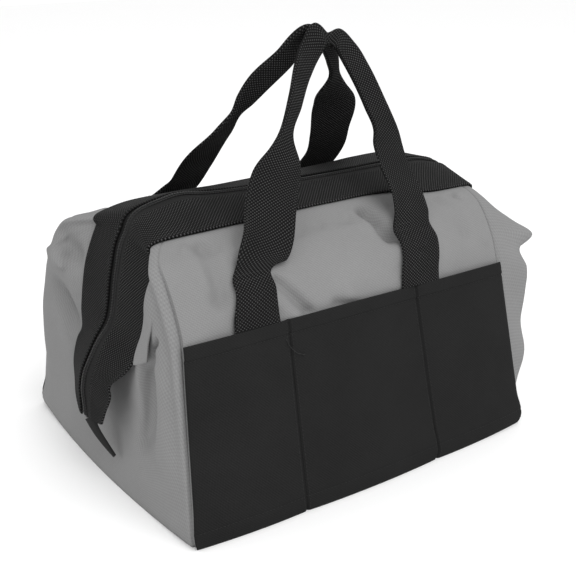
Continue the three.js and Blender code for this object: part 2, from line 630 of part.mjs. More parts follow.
// The long wall at a place along the bag and a rise above the pocket's top.
function wallAt(x, rise, edge) {
  const height = pocketHeight + rise;
  const at = (row) => {
    let low = 0;
    let high = 1;
    for (let i = 0; i < 30; i += 1) {
      const middle = (low + high) / 2;
      if (sidePoint(middle, row, edge).x < x) low = middle;
      else high = middle;
    }
    return sidePoint(low, row, edge);
  };
  let row = lowRows.length - 1;
  while (row < edgeRow - 1 && at(row + 1).z < height) row += 1;
  const low = at(row);
  const high = at(row + 1);
  return low.lerp(high, (height - low.z) / (high.z - low.z));
}

const footSteps = 4;

// The stations of one strand from its foot at the pocket's top to just before the neck. At its crease the
// webbing may be drawn aside and turned a little, so that it looks narrower.
const plainCrease = { rise: creaseRise, aside: 0, width: 1 };
const leftCrease = { rise: creaseRise, aside: 4.5, width: 0.84 };
const rightCrease = { rise: rightCreaseRise, aside: 6, width: 0.98 };
function strand(footX, edge, neck, table, crease) {
  const sideSign = edge === "front" ? -1 : 1;
  const seat = gap + webbingThickness / 2 + footSeat;
  const foot = range(gap, crease.rise, footSteps).map((rise) => {
    const share = smooth(rise / crease.rise);
    const here = wallAt(footX, rise, edge);
    const slope = wallAt(footX, rise + 2, edge).sub(here);
    const out = point(0, sideSign * slope.z, -sideSign * slope.y).normalize();
    // The webbing is flat, so it clears the highest place of the wall under its width.
    const swell = [-1, -0.5, 0.5, 1].map((share) => {
      const beside = wallAt(footX + (share * webbingWidth) / 2, rise, edge);
      return beside.sub(here).dot(out);
    });
    const place = here.addScaledVector(out, seat + Math.max(0, ...swell));
    place.x += share * crease.aside;
    const tilt = -sideSign * THREE.MathUtils.radToDeg(Math.asin(out.z));
    return { place, width: webbingWidth * mix(1, crease.width, share), folded: 0, turn: 0, tilt };
  });
  const start = foot[foot.length - 1].place.clone();
  start.x -= crease.aside;
  const stations = [...foot];
  for (const { rise, bow, sag, width, folded, turn } of table) {
    const place = start.clone().lerp(neck, rise);
    place.x += bow * handleSpacing;
    place.y += sag * Math.abs(start.y) * sideSign;
    stations.push({ place, width: width * webbingWidth, folded, turn, tilt: -sideSign * strandTilt });
  }
  return stations;
}

// A smooth path through the stations at even steps. Webbing bends little in its own plane, so its width
// turns with the path's direction over a long stretch.
const gripSteps = 64;
const stiffStretch = 20;
const creaseStretch = 32; // how far past its sewn foot the webbing keeps the foot's direction across
function refine(stations) {
  let length = 0;
  const rows = stations.map((station, i) => {
    if (i > 0) length += station.place.distanceTo(stations[i - 1].place);
    const { x, y, z } = station.place;
    return { ...station, length, x, y, z };
  });
  const read = (key, place) => readTable(rows, "length", key, place);
  const along = (place) => point(read("x", place), read("y", place), read("z", place));
  const creases = [rows[footSteps].length, length - rows[rows.length - 1 - footSteps].length];
  const feet = [along(creases[0]).sub(along(0)), along(length).sub(along(length - creases[1]))];
  feet.forEach((foot) => {
    foot.x = 0;
    foot.normalize();
  });
  return range(0, length, gripSteps).map((place) => {
    const turn = THREE.MathUtils.degToRad(read("turn", place));
    const tilt = THREE.MathUtils.degToRad(read("tilt", place));
    const level = Math.cos(tilt);
    const behind = along(Math.max(0, place - stiffStretch));
    const ahead = along(Math.min(length, place + stiffStretch)).sub(behind).normalize();
    [place, length - place].forEach((distance, end) => {
      const held = 1 - smooth((distance - creases[end]) / creaseStretch);
      ahead.lerp(feet[end], held).normalize();
    });
    return {
      place: along(place),
      ahead,
      width: read("width", place),
      thickness: mix(webbingThickness, gripThickness, read("folded", place)),
      faces: point(-Math.sin(turn) * level, -Math.cos(turn) * level, Math.sin(tilt)),
    };
  });
}

function addHandle(name, shift, edge, leftTable, rightTable, creases) {
  const neck = point(neckX, ((edge === "front" ? -1 : 1) * neckSpread) / 2, neckHeight);
  const left = strand(shift - handleSpacing / 2, edge, neck, leftTable, creases[0]);
  const right = strand(shift + handleSpacing / 2, edge, neck, rightTable, creases[1]);
  const middle = { place: neck, width: neckWidth * webbingWidth, folded: 1, turn: 0, tilt: 0 };
  addStrip(name, refine([...left, middle, ...right.reverse()]), false, webbing);
}
const frontCreases = [leftCrease, rightCrease];
const backCreases = [plainCrease, plainCrease];
addHandle("handle_front", handleShift, "front", frontLeftStrand, frontRightStrand, frontCreases);
addHandle("handle_back", -handleShift, "back", backLeftStrand, backRightStrand, backCreases);

export default group;
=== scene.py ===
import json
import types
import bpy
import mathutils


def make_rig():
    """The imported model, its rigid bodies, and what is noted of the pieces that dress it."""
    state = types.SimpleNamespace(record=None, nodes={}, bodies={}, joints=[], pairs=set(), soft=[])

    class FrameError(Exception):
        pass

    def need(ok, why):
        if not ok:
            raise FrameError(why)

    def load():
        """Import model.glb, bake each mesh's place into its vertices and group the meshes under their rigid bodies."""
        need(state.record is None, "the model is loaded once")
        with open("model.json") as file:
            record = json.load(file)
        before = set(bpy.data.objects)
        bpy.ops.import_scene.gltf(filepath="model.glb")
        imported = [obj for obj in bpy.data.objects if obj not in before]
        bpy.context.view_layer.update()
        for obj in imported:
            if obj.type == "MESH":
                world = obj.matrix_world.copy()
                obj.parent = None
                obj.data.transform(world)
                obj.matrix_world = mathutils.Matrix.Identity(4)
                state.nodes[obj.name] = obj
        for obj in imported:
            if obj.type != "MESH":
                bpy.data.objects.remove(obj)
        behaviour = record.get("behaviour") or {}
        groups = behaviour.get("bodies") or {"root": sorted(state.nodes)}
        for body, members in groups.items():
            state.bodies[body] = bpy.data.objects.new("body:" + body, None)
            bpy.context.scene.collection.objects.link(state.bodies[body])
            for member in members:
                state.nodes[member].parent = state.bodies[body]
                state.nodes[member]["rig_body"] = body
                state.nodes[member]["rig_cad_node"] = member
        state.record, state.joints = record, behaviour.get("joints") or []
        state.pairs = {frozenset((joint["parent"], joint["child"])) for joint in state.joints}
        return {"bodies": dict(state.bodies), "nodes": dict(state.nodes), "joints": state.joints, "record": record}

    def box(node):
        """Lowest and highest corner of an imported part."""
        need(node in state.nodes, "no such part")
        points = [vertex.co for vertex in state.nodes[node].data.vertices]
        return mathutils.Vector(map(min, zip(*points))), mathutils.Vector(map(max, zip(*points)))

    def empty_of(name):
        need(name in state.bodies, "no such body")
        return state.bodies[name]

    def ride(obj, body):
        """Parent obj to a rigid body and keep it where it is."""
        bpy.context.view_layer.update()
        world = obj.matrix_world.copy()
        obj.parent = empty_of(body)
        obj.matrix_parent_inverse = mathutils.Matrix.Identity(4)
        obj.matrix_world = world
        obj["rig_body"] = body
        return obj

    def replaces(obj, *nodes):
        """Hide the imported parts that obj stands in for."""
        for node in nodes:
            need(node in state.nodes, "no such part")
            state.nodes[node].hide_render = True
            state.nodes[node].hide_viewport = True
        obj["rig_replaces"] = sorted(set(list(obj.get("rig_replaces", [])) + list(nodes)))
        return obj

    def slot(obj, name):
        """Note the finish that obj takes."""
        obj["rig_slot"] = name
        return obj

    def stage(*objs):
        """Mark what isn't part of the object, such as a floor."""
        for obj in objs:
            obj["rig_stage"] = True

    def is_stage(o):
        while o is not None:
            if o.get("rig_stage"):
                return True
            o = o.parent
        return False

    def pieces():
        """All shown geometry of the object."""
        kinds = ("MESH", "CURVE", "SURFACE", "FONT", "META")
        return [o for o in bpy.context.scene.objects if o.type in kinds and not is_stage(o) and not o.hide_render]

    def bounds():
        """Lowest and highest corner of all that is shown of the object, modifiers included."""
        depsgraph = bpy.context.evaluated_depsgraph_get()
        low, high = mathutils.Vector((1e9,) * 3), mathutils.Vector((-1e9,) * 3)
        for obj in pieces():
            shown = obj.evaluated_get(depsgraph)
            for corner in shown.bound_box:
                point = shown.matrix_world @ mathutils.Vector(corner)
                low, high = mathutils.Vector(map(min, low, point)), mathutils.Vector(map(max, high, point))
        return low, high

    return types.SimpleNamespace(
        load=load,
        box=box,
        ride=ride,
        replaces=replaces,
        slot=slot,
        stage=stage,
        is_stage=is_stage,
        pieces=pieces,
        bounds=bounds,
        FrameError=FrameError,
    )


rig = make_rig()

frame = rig.load()

import json
import math

import bpy
import numpy as np
from mathutils import Vector

cad_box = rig.bounds()
MM = 0.001
TURN = 2 * math.pi

# Camera at the photograph's angle
CAMERA_PLACE = (-0.441294, -0.643848, 0.416027)
CAMERA_TURN = 0.613
CAMERA_DROP = 0.365
LENS = 61.87
SENSOR_WIDTH = 36


def add_object(name, data):
    made = bpy.data.objects.new(name, data)
    bpy.context.scene.collection.objects.link(made)
    return made


def add_camera():
    data = bpy.data.cameras.new("camera")
    data.lens = LENS
    data.sensor_width = SENSOR_WIDTH
    camera = add_object("camera", data)
    camera.location = CAMERA_PLACE
    camera.rotation_euler = (math.pi / 2 - CAMERA_DROP, 0, -CAMERA_TURN)
    bpy.context.scene.camera = camera


add_camera()

# Sizes in millimetres, the same as the solids'. NECK_WIDTH is a share of the webbing's, STRAND_TILT degrees
BASE_LENGTH = 327
BASE_DEPTH = 270
POCKET_HEIGHT = 141
RIDGE_HEIGHT = 208
POCKET_LEAN = 28
SEAM_LEAN = 11.5
SIDE_BOW = 6
END_BOW = 8
FOLD_REACH = 10
WALL = 1.4
POCKET_CLOTH = 1.6
POCKET_FULLNESS = 1.6
CORNER_TUCK = 2
BASE_THICKNESS = 2.4
WEBBING_WIDTH = 38
WEBBING_THICKNESS = 1.8
TAPE_SHOWN = 7.5
TAPE_TUCKED = 4
TAPE_THICKNESS = 0.8
HEM_TUCKED = 8
COIL_WIDTH = 5.6
COIL_HEIGHT = 2.4
GAP = 0.3
POCKET_SEAMS = (-69.7, 61)
HANDLE_SPACING = 153
HANDLE_SHIFT = -14.5
CREASE_RISE = 33
RIGHT_CREASE_RISE = 41
NECK = (46, 0, 320.6)
NECK_SPREAD = 8.5
NECK_WIDTH = 0.25
GRIP_THICKNESS = 4.4
FOOT_SEAT = 1.1
STRAND_TILT = 30
HALF_LENGTH = BASE_LENGTH / 2
HALF_DEPTH = BASE_DEPTH / 2
BAND_REACH = COIL_WIDTH / 2 + GAP + TAPE_SHOWN + WEBBING_WIDTH
FRONT = -1
BACK = 1
LEFT = -1
RIGHT = 1

# The zip: its way from end to end, where 0 and 1 are the corners of the ridge, then shares of half the
# length for x, of the band's reach for y and of the ridge's height for z
ZIP_START = -2
ZIP_END = 3
ZIP_COLUMNS = "way coil_x coil_z front_x front_y front_z back_x back_y back_z".split()
ZIP_LINE = np.array([
    (-2, -1.092, 0.245, -1.076, 0.52, 0.264, -1.089, 0.17, 0.25),
    (-1.8, -1.095, 0.298, -1.064, 0.58, 0.313, -1.073, 0.39, 0.29),
    (-1.5, -1.095, 0.375, -1.046, 0.67, 0.38, -1.04, 0.65, 0.335),
    (-1.3, -1.076, 0.433, -1.031, 0.62, 0.423, -0.997, 0.97, 0.385),
    (-1.15, -1.04, 0.486, -0.997, 0.93, 0.49, -0.96, 1.08, 0.442),
    (-1, -1.003, 0.534, -0.963, 1.05, 0.546, -0.948, 0.93, 0.5),
    (-0.8, -0.936, 0.601, -0.93, 1.06, 0.615, -0.942, 0.93, 0.587),
    (-0.5, -0.89, 0.779, -0.872, 1.01, 0.769, -0.899, 0.97, 0.76),
    (-0.2, -0.838, 0.913, -0.835, 0.96, 0.885, -0.838, 0.93, 0.894),
    (0, -0.746, 1, -0.801, 0.94, 0.94, -0.798, 0.96, 0.938),
    (0.06, -0.673, 1.014, -0.685, 0.95, 0.945, -0.69, 0.99, 0.952),
    (0.13, -0.56, 1.028, -0.56, 0.96, 0.948, -0.57, 1, 0.958),
    (0.22, -0.4, 1.014, -0.4, 0.97, 0.952, -0.41, 1, 0.957),
    (0.5, 0.092, 1.001, 0.092, 1, 0.964, 0.092, 1, 0.96),
    (0.75, 0.526, 1.002, 0.514, 1.02, 0.957, 0.526, 1, 0.968),
    (0.86, 0.722, 1.003, 0.709, 1.12, 0.938, 0.722, 1, 0.975),
    (0.95, 0.93, 1, 0.869, 1.17, 0.938, 0.93, 1, 0.975),
    (1, 1.028, 0.983, 0.954, 1.18, 0.938, 1.04, 1, 0.964),
    (1.2, 1.076, 0.913, 0.979, 1.08, 0.88, 1.076, 1, 0.899),
    (1.5, 1.076, 0.779, 0.997, 1.01, 0.769, 1.064, 1, 0.769),
    (1.8, 1.083, 0.611, 1.028, 1.04, 0.615, 1.052, 0.95, 0.596),
    (2, 1.119, 0.534, 1.058, 1.04, 0.543, 1.064, 0.93, 0.51),
    (2.15, 1.15, 0.486, 1.089, 0.93, 0.49, 1.089, 1, 0.457),
    (2.3, 1.174, 0.433, 1.119, 0.65, 0.423, 1.113, 0.91, 0.404),
    (2.5, 1.187, 0.375, 1.138, 0.65, 0.38, 1.144, 0.65, 0.346),
    (2.8, 1.187, 0.298, 1.156, 0.58, 0.313, 1.162, 0.39, 0.293),
    (3, 1.18, 0.245, 1.168, 0.5, 0.264, 1.174, 0.17, 0.25),
])

# Rows of the walls: shares of the pocket's height, then rise, run, run at the left and at the right
LOW_ROWS = np.array([0, 0.03, 0.2, 0.42, 0.64, 0.84, 1])
HIGH_ROWS = np.array([
    (0.35, 0.13, 0.02, 0),
    (0.495, 0.217, 0.04, 0),
    (0.69, 0.35, 0.07, 0),
    (0.853, 0.517, 0.14, 0.1),
    (0.945, 0.75, 0.5, 0.6),
])
OPENING_SHARE = 0.3
SEAM_PULL = 0.42
CROSSING_TUCK = 5

# Folds that the solids have: across, up, wide, tall, then out, aside and lift as shares of FOLD_REACH
SIDE_FOLDS = (
    (0.22, 0.72, 0.13, 0.07, 0.45, 0, 0.2),
    (0.71, 0.73, 0.13, 0.07, 0.6, 0, 0.25),
    (0.48, 0.72, 0.12, 0.1, -0.15, 0, 0),
)
LEFT_FOLDS = (
    (0.11, 0.5, 0.06, 0.25, 0.65, 0, 0),
    (0.21, 0.56, 0.06, 0.2, -1.2, 0, 0),
    (0.5, 0.55, 0.2, 0.35, -0.6, 0, 0),
    (0.1, 0.83, 0.07, 0.07, 0.4, 0.1, 0),
    (0.9, 0.78, 0.07, 0.1, 0.7, 0.1, -0.4),
    (0.81, 0.73, 0.06, 0.06, -1.1, 0, 0),
    (0.92, 0.5, 0.08, 0.25, 0.9, 0.1, 0),
    (0.7, 0.82, 0.1, 0.16, -1, 0, 0),
)
RIGHT_FOLDS = (
    (0.07, 0.17, 0.1, 0.14, 0.8, 0.3, 0),
    (0.07, 0.36, 0.1, 0.17, 2.1, 0.9, 0),
    (0.07, 0.47, 0.1, 0.07, -0.7, -0.4, 0),
    (0.06, 0.57, 0.09, 0.1, 2.9, 1.7, 0),
    (0.07, 0.74, 0.09, 0.06, 3.4, 1.4, 0),
    (0.08, 0.84, 0.1, 0.08, 1.9, 0.7, 0),
    (0.27, 0.45, 0.1, 0.18, -1, 0, 0),
    (0.93, 0.5, 0.09, 0.22, 1.5, 0.6, 0),
    (0.92, 0.78, 0.08, 0.08, 1.5, 0.6, 0),
    (0.72, 0.45, 0.1, 0.18, -1, 0, 0),
)

# Narrow folds of the cloth: from across and up, to across and up, depth and width in millimetres
LONG_CREASES = (
    (0.278, 0.735, 0.355, 0.612, -5.5, 4.2),
    (0.262, 0.68, 0.33, 0.58, 2, 5),
    (0.475, 0.655, 0.48, 0.64, 2.6, 7),
    (0.44, 0.612, 0.5, 0.598, -3, 5),
    (0.622, 0.93, 0.655, 0.8, -11, 7),
    (0.57, 0.94, 0.6, 0.85, 1.8, 7),
    (0.205, 0.8, 0.21, 0.7, -2, 5),
    (0.07, 0.92, 0.1, 0.76, 1.8, 6),
    (0.118, 0.93, 0.122, 0.72, -5, 7.5),
    (0.86, 0.94, 0.9, 0.74, -2.4, 6),
    (0.945, 0.92, 0.955, 0.7, 1.4, 4),
)
LEFT_CREASES = (
    (0.915, 0.865, 0.875, 0.91, -9, 9),
    (0.93, 0.815, 0.875, 0.875, -3.5, 3),
    (0.945, 0.735, 0.86, 0.855, 3, 3.4),
    (0.107, 0.7, 0.172, 0.735, -8, 2.4),
    (0.235, 0.74, 0.28, 0.42, -6, 8),
    (0.13, 0.62, 0.16, 0.3, 2, 5),
)
RIGHT_CREASES = (
    (0.12, 0.9, 0.2, 0.72, -2, 5),
    (0.88, 0.88, 0.8, 0.7, -2.2, 5),
    (0.3, 0.8, 0.42, 0.6, 1.2, 8),
    (0.7, 0.8, 0.6, 0.62, -1.2, 8),
)

# Shares of the wall over which folds fade out at the seams, below the band and above the floor
FOLD_FADE = (0.07, 0.12, 0.1)


def mix(a, b, share):
    return a + (b - a) * share


def smooth(share):
    held = np.clip(share, 0, 1)
    return held * held * (3 - 2 * held)


def fading(across, up, reach):
    """1 on the open wall, falling to 0 at its seams, its top and its floor."""
    seams, top, floor = reach
    return smooth(np.minimum(across, 1 - across) / seams) * smooth((1 - up) / top) * smooth(up / floor)


def bell(distance, wide):
    """1 at no distance, falling smoothly to about a third at the width."""
    return np.exp(-((distance / wide) ** 2))


def unit(vectors):
    return vectors / np.maximum(np.linalg.norm(vectors, axis=-1, keepdims=True), 1e-9)


def points(x, y, z):
    return np.stack(np.broadcast_arrays(x, y, z), axis=-1).astype(float)


def track(keys, values):
    """A smooth curve through values at the keys."""
    keys = np.asarray(keys, float)
    values = np.asarray(values, float)
    step = np.diff(keys)
    rate = np.diff(values) / step
    inner = (rate[:-1] * step[1:] + rate[1:] * step[:-1]) / (step[:-1] + step[1:])
    slope = np.concatenate([rate[:1], inner, rate[-1:]])

    def at(place):
        place = np.clip(place, keys[0], keys[-1])
        i = np.clip(np.searchsorted(keys, place) - 1, 0, len(keys) - 2)
        t = (place - keys[i]) / step[i]
        bend = t * (1 - t) * step[i]
        ease = t * t * (3 - 2 * t)
        return mix(values[i], values[i + 1], ease) + bend * ((1 - t) * slope[i] - t * slope[i + 1])

    return at


def read_table(table, places):
    """The other columns of a table at places on its first one, on smooth curves."""
    keys, *columns = table.T
    return [track(keys, column)(places) for column in columns]


def read_line(line, lengths, places):
    """Points of a line at places on its lengths, on straight runs."""
    return np.stack([np.interp(places, lengths, column) for column in line.T], axis=-1)


def spread_rows(keys, rows, places):
    """Rows of points at the keys, carried to finer places on smooth curves."""
    weights = np.stack([track(keys, row)(places) for row in np.eye(len(keys))], axis=1)
    return np.einsum("fr,...rk->...fk", weights, rows)


def grid_normals(grid):
    along = np.gradient(grid, axis=0)
    up = np.gradient(grid, axis=1)
    return unit(np.cross(along, up))


class Noise:
    """Seeded soft noise from -1 to 1 over points in millimetres."""

    def __init__(self, seed, size):
        self.lattice = np.random.default_rng(seed).uniform(-1, 1, (32, 32, 32))
        self.size = np.asarray(size, float)

    def __call__(self, at):
        cell = at / self.size
        low = np.floor(cell).astype(int)
        part = smooth(cell - low)
        total = 0
        for corner in np.ndindex(2, 2, 2):
            near = np.where(corner, part, 1 - part).prod(axis=-1)
            i, j, k = np.moveaxis((low + corner) % 32, -1, 0)
            total = total + near * self.lattice[i, j, k]
        return total


zip_tracks = {name: track(ZIP_LINE[:, 0], ZIP_LINE[:, i]) for i, name in enumerate(ZIP_COLUMNS)}


def coil_at(way):
    return points(zip_tracks["coil_x"](way) * HALF_LENGTH, 0, zip_tracks["coil_z"](way) * RIDGE_HEIGHT)


def edge_at(way, outward):
    side = "front_" if outward == FRONT else "back_"
    x = zip_tracks[side + "x"](way) * HALF_LENGTH
    y = zip_tracks[side + "y"](way) * BAND_REACH * outward
    z = zip_tracks[side + "z"](way) * RIDGE_HEIGHT
    return points(x, y, z)


def band_point(way, across, outward):
    coil = coil_at(way)
    return coil + (edge_at(way, outward) - coil) * np.asarray(across)[..., None]


def corner_rows(end, outward):
    """The points of a corner seam at the rows of the wall, from the floor to the band."""
    corner = band_point(0 if end == LEFT else 1, 1, outward)
    tuck = np.where(LOW_ROWS == 0, CORNER_TUCK, 0)
    x = end * (HALF_LENGTH - SEAM_LEAN * LOW_ROWS - tuck)
    y = outward * (HALF_DEPTH - POCKET_LEAN * LOW_ROWS - tuck)
    low = points(x, y, POCKET_HEIGHT * LOW_ROWS)
    rise, run, left_run, right_run = HIGH_ROWS.T
    along = left_run if end == LEFT else right_run
    shares = np.stack([along, run, rise], axis=1)
    high = mix(low[-1], corner, shares)
    return np.concatenate([low, high, corner[None]])


front_left_seam = corner_rows(LEFT, FRONT)
lengths = np.linalg.norm(np.diff(front_left_seam, axis=0), axis=1)
ROW_UP = np.concatenate([[0], np.cumsum(lengths)]) / lengths.sum()
ROW_BOW = np.concatenate([1 - LOW_ROWS, np.zeros(len(HIGH_ROWS) + 1)])
POCKET_UP = ROW_UP[len(LOW_ROWS) - 1]


def folds_at(folds, across, up):
    """How far the folds move places of the wall out of it, away from its middle, and up."""
    strength = fading(across, up, FOLD_FADE) * FOLD_REACH
    moves = np.zeros((3, *np.broadcast(across, up).shape))
    for at, height, wide, tall, out, aside, lift in folds:
        swell = strength * bell(across - at, wide) * bell(up - height, tall)
        moves += swell * np.array([out, aside, lift])[:, None, None]
    moves[1] *= np.sign(across - 0.5)
    return moves


def fold_moves(folds, across, up):
    """The folds' moves at the solids' rows, carried smoothly to finer rows."""
    rows = folds_at(folds, across[:, None], ROW_UP[None, :])
    return spread_rows(ROW_UP, rows[..., None], up)[..., 0]


def side_wall(across, up, outward):
    """Points of a long wall. Across runs from its left seam to its right one."""
    left = corner_rows(LEFT, outward)
    right = corner_rows(RIGHT, outward)
    rows = mix(left[None], right[None], across[:, None, None])
    rows[:, -1] = band_point(across, 1, outward)
    rows[..., 1] += outward * 4 * (across * (1 - across))[:, None] * SIDE_BOW * ROW_BOW
    wall = spread_rows(ROW_UP, rows, up)
    order = across if outward == FRONT else 1 - across
    out, aside, lift = fold_moves(SIDE_FOLDS, order, up)
    return wall + points(-outward * aside, outward * out, lift)


def end_wall(across, up, end):
    """Points of an end wall. Across runs from the front seam to the back one."""
    corner_way = 0 if end == LEFT else 1

    def top_edge(place):
        first = band_point(corner_way + end * np.clip(place / OPENING_SHARE, 0, 1), 1, FRONT)
        last = band_point(corner_way + end * np.clip((1 - place) / OPENING_SHARE, 0, 1), 1, BACK)
        crossing = np.clip((place - OPENING_SHARE) / (1 - 2 * OPENING_SHARE), 0, 1)
        middle = np.sin(np.pi * crossing)
        sag = points(-end * middle * CROSSING_TUCK, 0, -middle * HEM_TUCKED / 2)
        return mix(first, last, crossing[:, None]) + sag

    def floor_edge(place):
        corner = corner_rows(end, FRONT)[0]
        bow = 4 * place * (1 - place) * END_BOW
        return points(corner[0] + end * bow, mix(corner[1], -corner[1], place), 0)

    climb = up[None, :, None]
    wall = mix(floor_edge(across)[:, None], top_edge(across)[:, None], climb)
    for outward, place in ((FRONT, np.zeros(1)), (BACK, np.ones(1))):
        straight = mix(floor_edge(place)[:, None], top_edge(place)[:, None], climb)
        seam = spread_rows(ROW_UP, corner_rows(end, outward)[None], up)
        near = 1 - smooth(np.abs(across - place) / SEAM_PULL)
        wall = wall + (seam - straight) * near[:, None, None]
    out, aside, lift = fold_moves(LEFT_FOLDS if end == LEFT else RIGHT_FOLDS, across, up)
    return wall + points(end * out, aside, lift)


class Value:
    """A shader value that can be added to and multiplied in plain expressions."""

    def __init__(self, finish, socket):
        self.finish = finish
        self.socket = socket

    def _with(self, operation, first, second=0.0):
        settings = {"operation": operation}
        return self.finish.node("ShaderNodeMath", settings, {0: first, 1: second}, "Value")

    def __add__(self, other):
        return self._with("ADD", self, other)

    def __mul__(self, other):
        return self._with("MULTIPLY", self, other)

    def cosine(self):
        return self._with("COSINE", self)

    def size(self):
        return self._with("ABSOLUTE", self)

    def held(self):
        return self._with("MINIMUM", self._with("MAXIMUM", self, 0.0), 1.0)

    def above(self, edge, blur):
        """0 below the edge and 1 above it, over a soft step."""
        return ((self + (blur / 2 - edge)) * (1 / blur)).held()


class Finish:
    """One material made of nodes."""

    def __init__(self, name, roughness, specular, metallic=0.0):
        self.material = bpy.data.materials.new(name)
        self.material.use_nodes = True
        self.tree = self.material.node_tree
        self.shader = self.tree.nodes["Principled BSDF"]
        constants = {"Roughness": roughness, "Specular IOR Level": specular, "Metallic": metallic}
        for key, value in constants.items():
            self.shader.inputs[key].default_value = value

    def node(self, kind, settings, inputs, output):
        made = self.tree.nodes.new(kind)
        for key, value in settings.items():
            setattr(made, key, value)
        for key, value in inputs.items():
            self.plug(made.inputs[key], value)
        return Value(self, made.outputs[output])

    def plug(self, socket, value):
        if isinstance(value, Value):
            self.tree.links.new(value.socket, socket)
        else:
            socket.default_value = value

    def along_cloth(self):
        """The places along and across the cloth, in millimetres."""
        place = self.node("ShaderNodeUVMap", {"uv_map": "cloth"}, {}, "UV")
        along = self.node("ShaderNodeSeparateXYZ", {}, {0: place}, "X")
        across = self.node("ShaderNodeSeparateXYZ", {}, {0: place}, "Y")
        return along * (1 / MM), across * (1 / MM)

    def noise(self, scale, detail):
        place = self.node("ShaderNodeTexCoord", {}, {}, "Object")
        inputs = {"Vector": place, "Scale": scale, "Detail": detail}
        return self.node("ShaderNodeTexNoise", {}, inputs, "Fac")

    def blend(self, share, dark, light):
        """A colour between two colours."""
        return self.node("ShaderNodeMix", {"data_type": "RGBA"}, {"Factor": share, 6: dark, 7: light}, 2)

    def colour(self, value):
        self.plug(self.shader.inputs["Base Color"], value)

    def roughness(self, value):
        self.plug(self.shader.inputs["Roughness"], value)

    def bump(self, height, depth):
        """Relief of a height from 0 to 1, with its depth in millimetres."""
        inputs = {"Height": height, "Distance": depth * MM}
        made = self.node("ShaderNodeBump", {}, inputs, "Normal")
        self.plug(self.shader.inputs["Normal"], made)


def shade(level):
    return (level, level, level, 1.0)


# Weaves, in millimetres. SPECK_EDGE and SPECK_BLUR are shares of a speck, TWILL_SHARE of the pitch
SPECK_ALONG = 1.3
SPECK_ACROSS = 1.45
SPECK_EDGE = 0.81
SPECK_BLUR = 0.16
TWILL_SHARE = 1.9
HERRINGBONE_WIDE = 4.0
HERRINGBONE_DEEP = 2.0
TAPE_PITCH = 0.9


def wave(distance, pitch):
    """A value from 0 to 1 that rises and falls once in each pitch."""
    return (distance * (TURN / pitch)).cosine() * 0.5 + 0.5


def woven_cloth(name, dark, light, pitch, depth, roughness, specular):
    """Coated woven cloth with a fine weave and slightly uneven yarns."""
    finish = Finish(name, roughness, specular)
    along, across = finish.along_cloth()
    twill = wave(along + across, pitch * TWILL_SHARE)
    weave = wave(along, pitch) * 0.3 + wave(across, pitch) * 0.3 + twill * 0.4
    yarns = finish.noise(900.0, 1.0)
    patches = finish.noise(26.0, 3.0)
    tone = (weave * 0.5 + yarns * 0.25 + patches * 0.25).held()
    finish.colour(finish.blend(tone, dark, light))
    finish.roughness(weave * -0.08 + roughness)
    finish.bump(weave * 0.7 + yarns * 0.3, depth)
    return finish.material


def webbing_finish():
    """Coarse webbing: staggered specks of a light yarn on near black ribs."""
    finish = Finish("webbing", 0.8, 0.06)
    along, across = finish.along_cloth()
    first = (along * (TURN / 2 / SPECK_ALONG)).cosine()
    second = (across * (TURN / 2 / SPECK_ACROSS)).cosine()
    dots = (first * second * 0.5 + 0.5).held()
    fine = finish.noise(1400.0, 1.0)
    # Random patches where the light specks are stronger or dimmer
    speck_patches = finish.noise(45.0, 3.0)
    top = dots.above(SPECK_EDGE, SPECK_BLUR)
    tone = (top * (speck_patches * 0.7 + 0.3) + dots * 0.08 + fine * 0.06).held()
    finish.colour(finish.blend(tone, shade(0.0018), shade(0.08)))
    finish.bump(dots * 0.85 + fine * 0.15, 0.35)
    return finish.material


def tape_finish():
    """Zip tape: a fine dense weave with a herringbone."""
    finish = Finish("zip_tape", 0.75, 0.12)
    along, across = finish.along_cloth()
    slope = (across * (TURN / HERRINGBONE_WIDE)).cosine().size() * HERRINGBONE_DEEP
    weave = wave(along + slope, TAPE_PITCH)
    fine = finish.noise(1800.0, 1.0)
    finish.colour(finish.blend((weave * 0.5 + fine * 0.4).held(), shade(0.009), shade(0.024)))
    finish.bump(weave, 0.12)
    return finish.material


def grained(name, base, grain, levels, rough=None, depth=None):
    """Thread, plastic or metal whose tone varies with a fine grain, and its roughness or relief too."""
    finish = Finish(name, *base)
    noise = finish.noise(*grain)
    finish.colour(finish.blend(noise, *map(shade, levels)))
    if rough:
        finish.roughness(noise * rough[0] + rough[1])
    if depth:
        finish.bump(noise, depth)
    return finish.material


dark_thread = grained("dark_thread", (0.7, 0.2), (2500.0, 1.0), (0.004, 0.03), depth=0.08)
# The finish of each of the record's material slots
FINISHES = {
    "grey_cloth": woven_cloth("grey_cloth", shade(0.135), shade(0.255), 1.3, 0.08, 0.88, 0.15),
    "black_cloth": woven_cloth("black_cloth", shade(0.004), shade(0.022), 1.2, 0.1, 0.9, 0.08),
    "webbing": webbing_finish(),
    "zip_tape": tape_finish(),
    "coil": grained("coil_plastic", (0.4, 0.3), (300.0, 3.0), (0.004, 0.016), (0.25, 0.3)),
    "slider": grained("slider_metal", (0.35, 0.5, 0.8), (500.0, 4.0), (0.02, 0.06), (0.3, 0.28)),
}


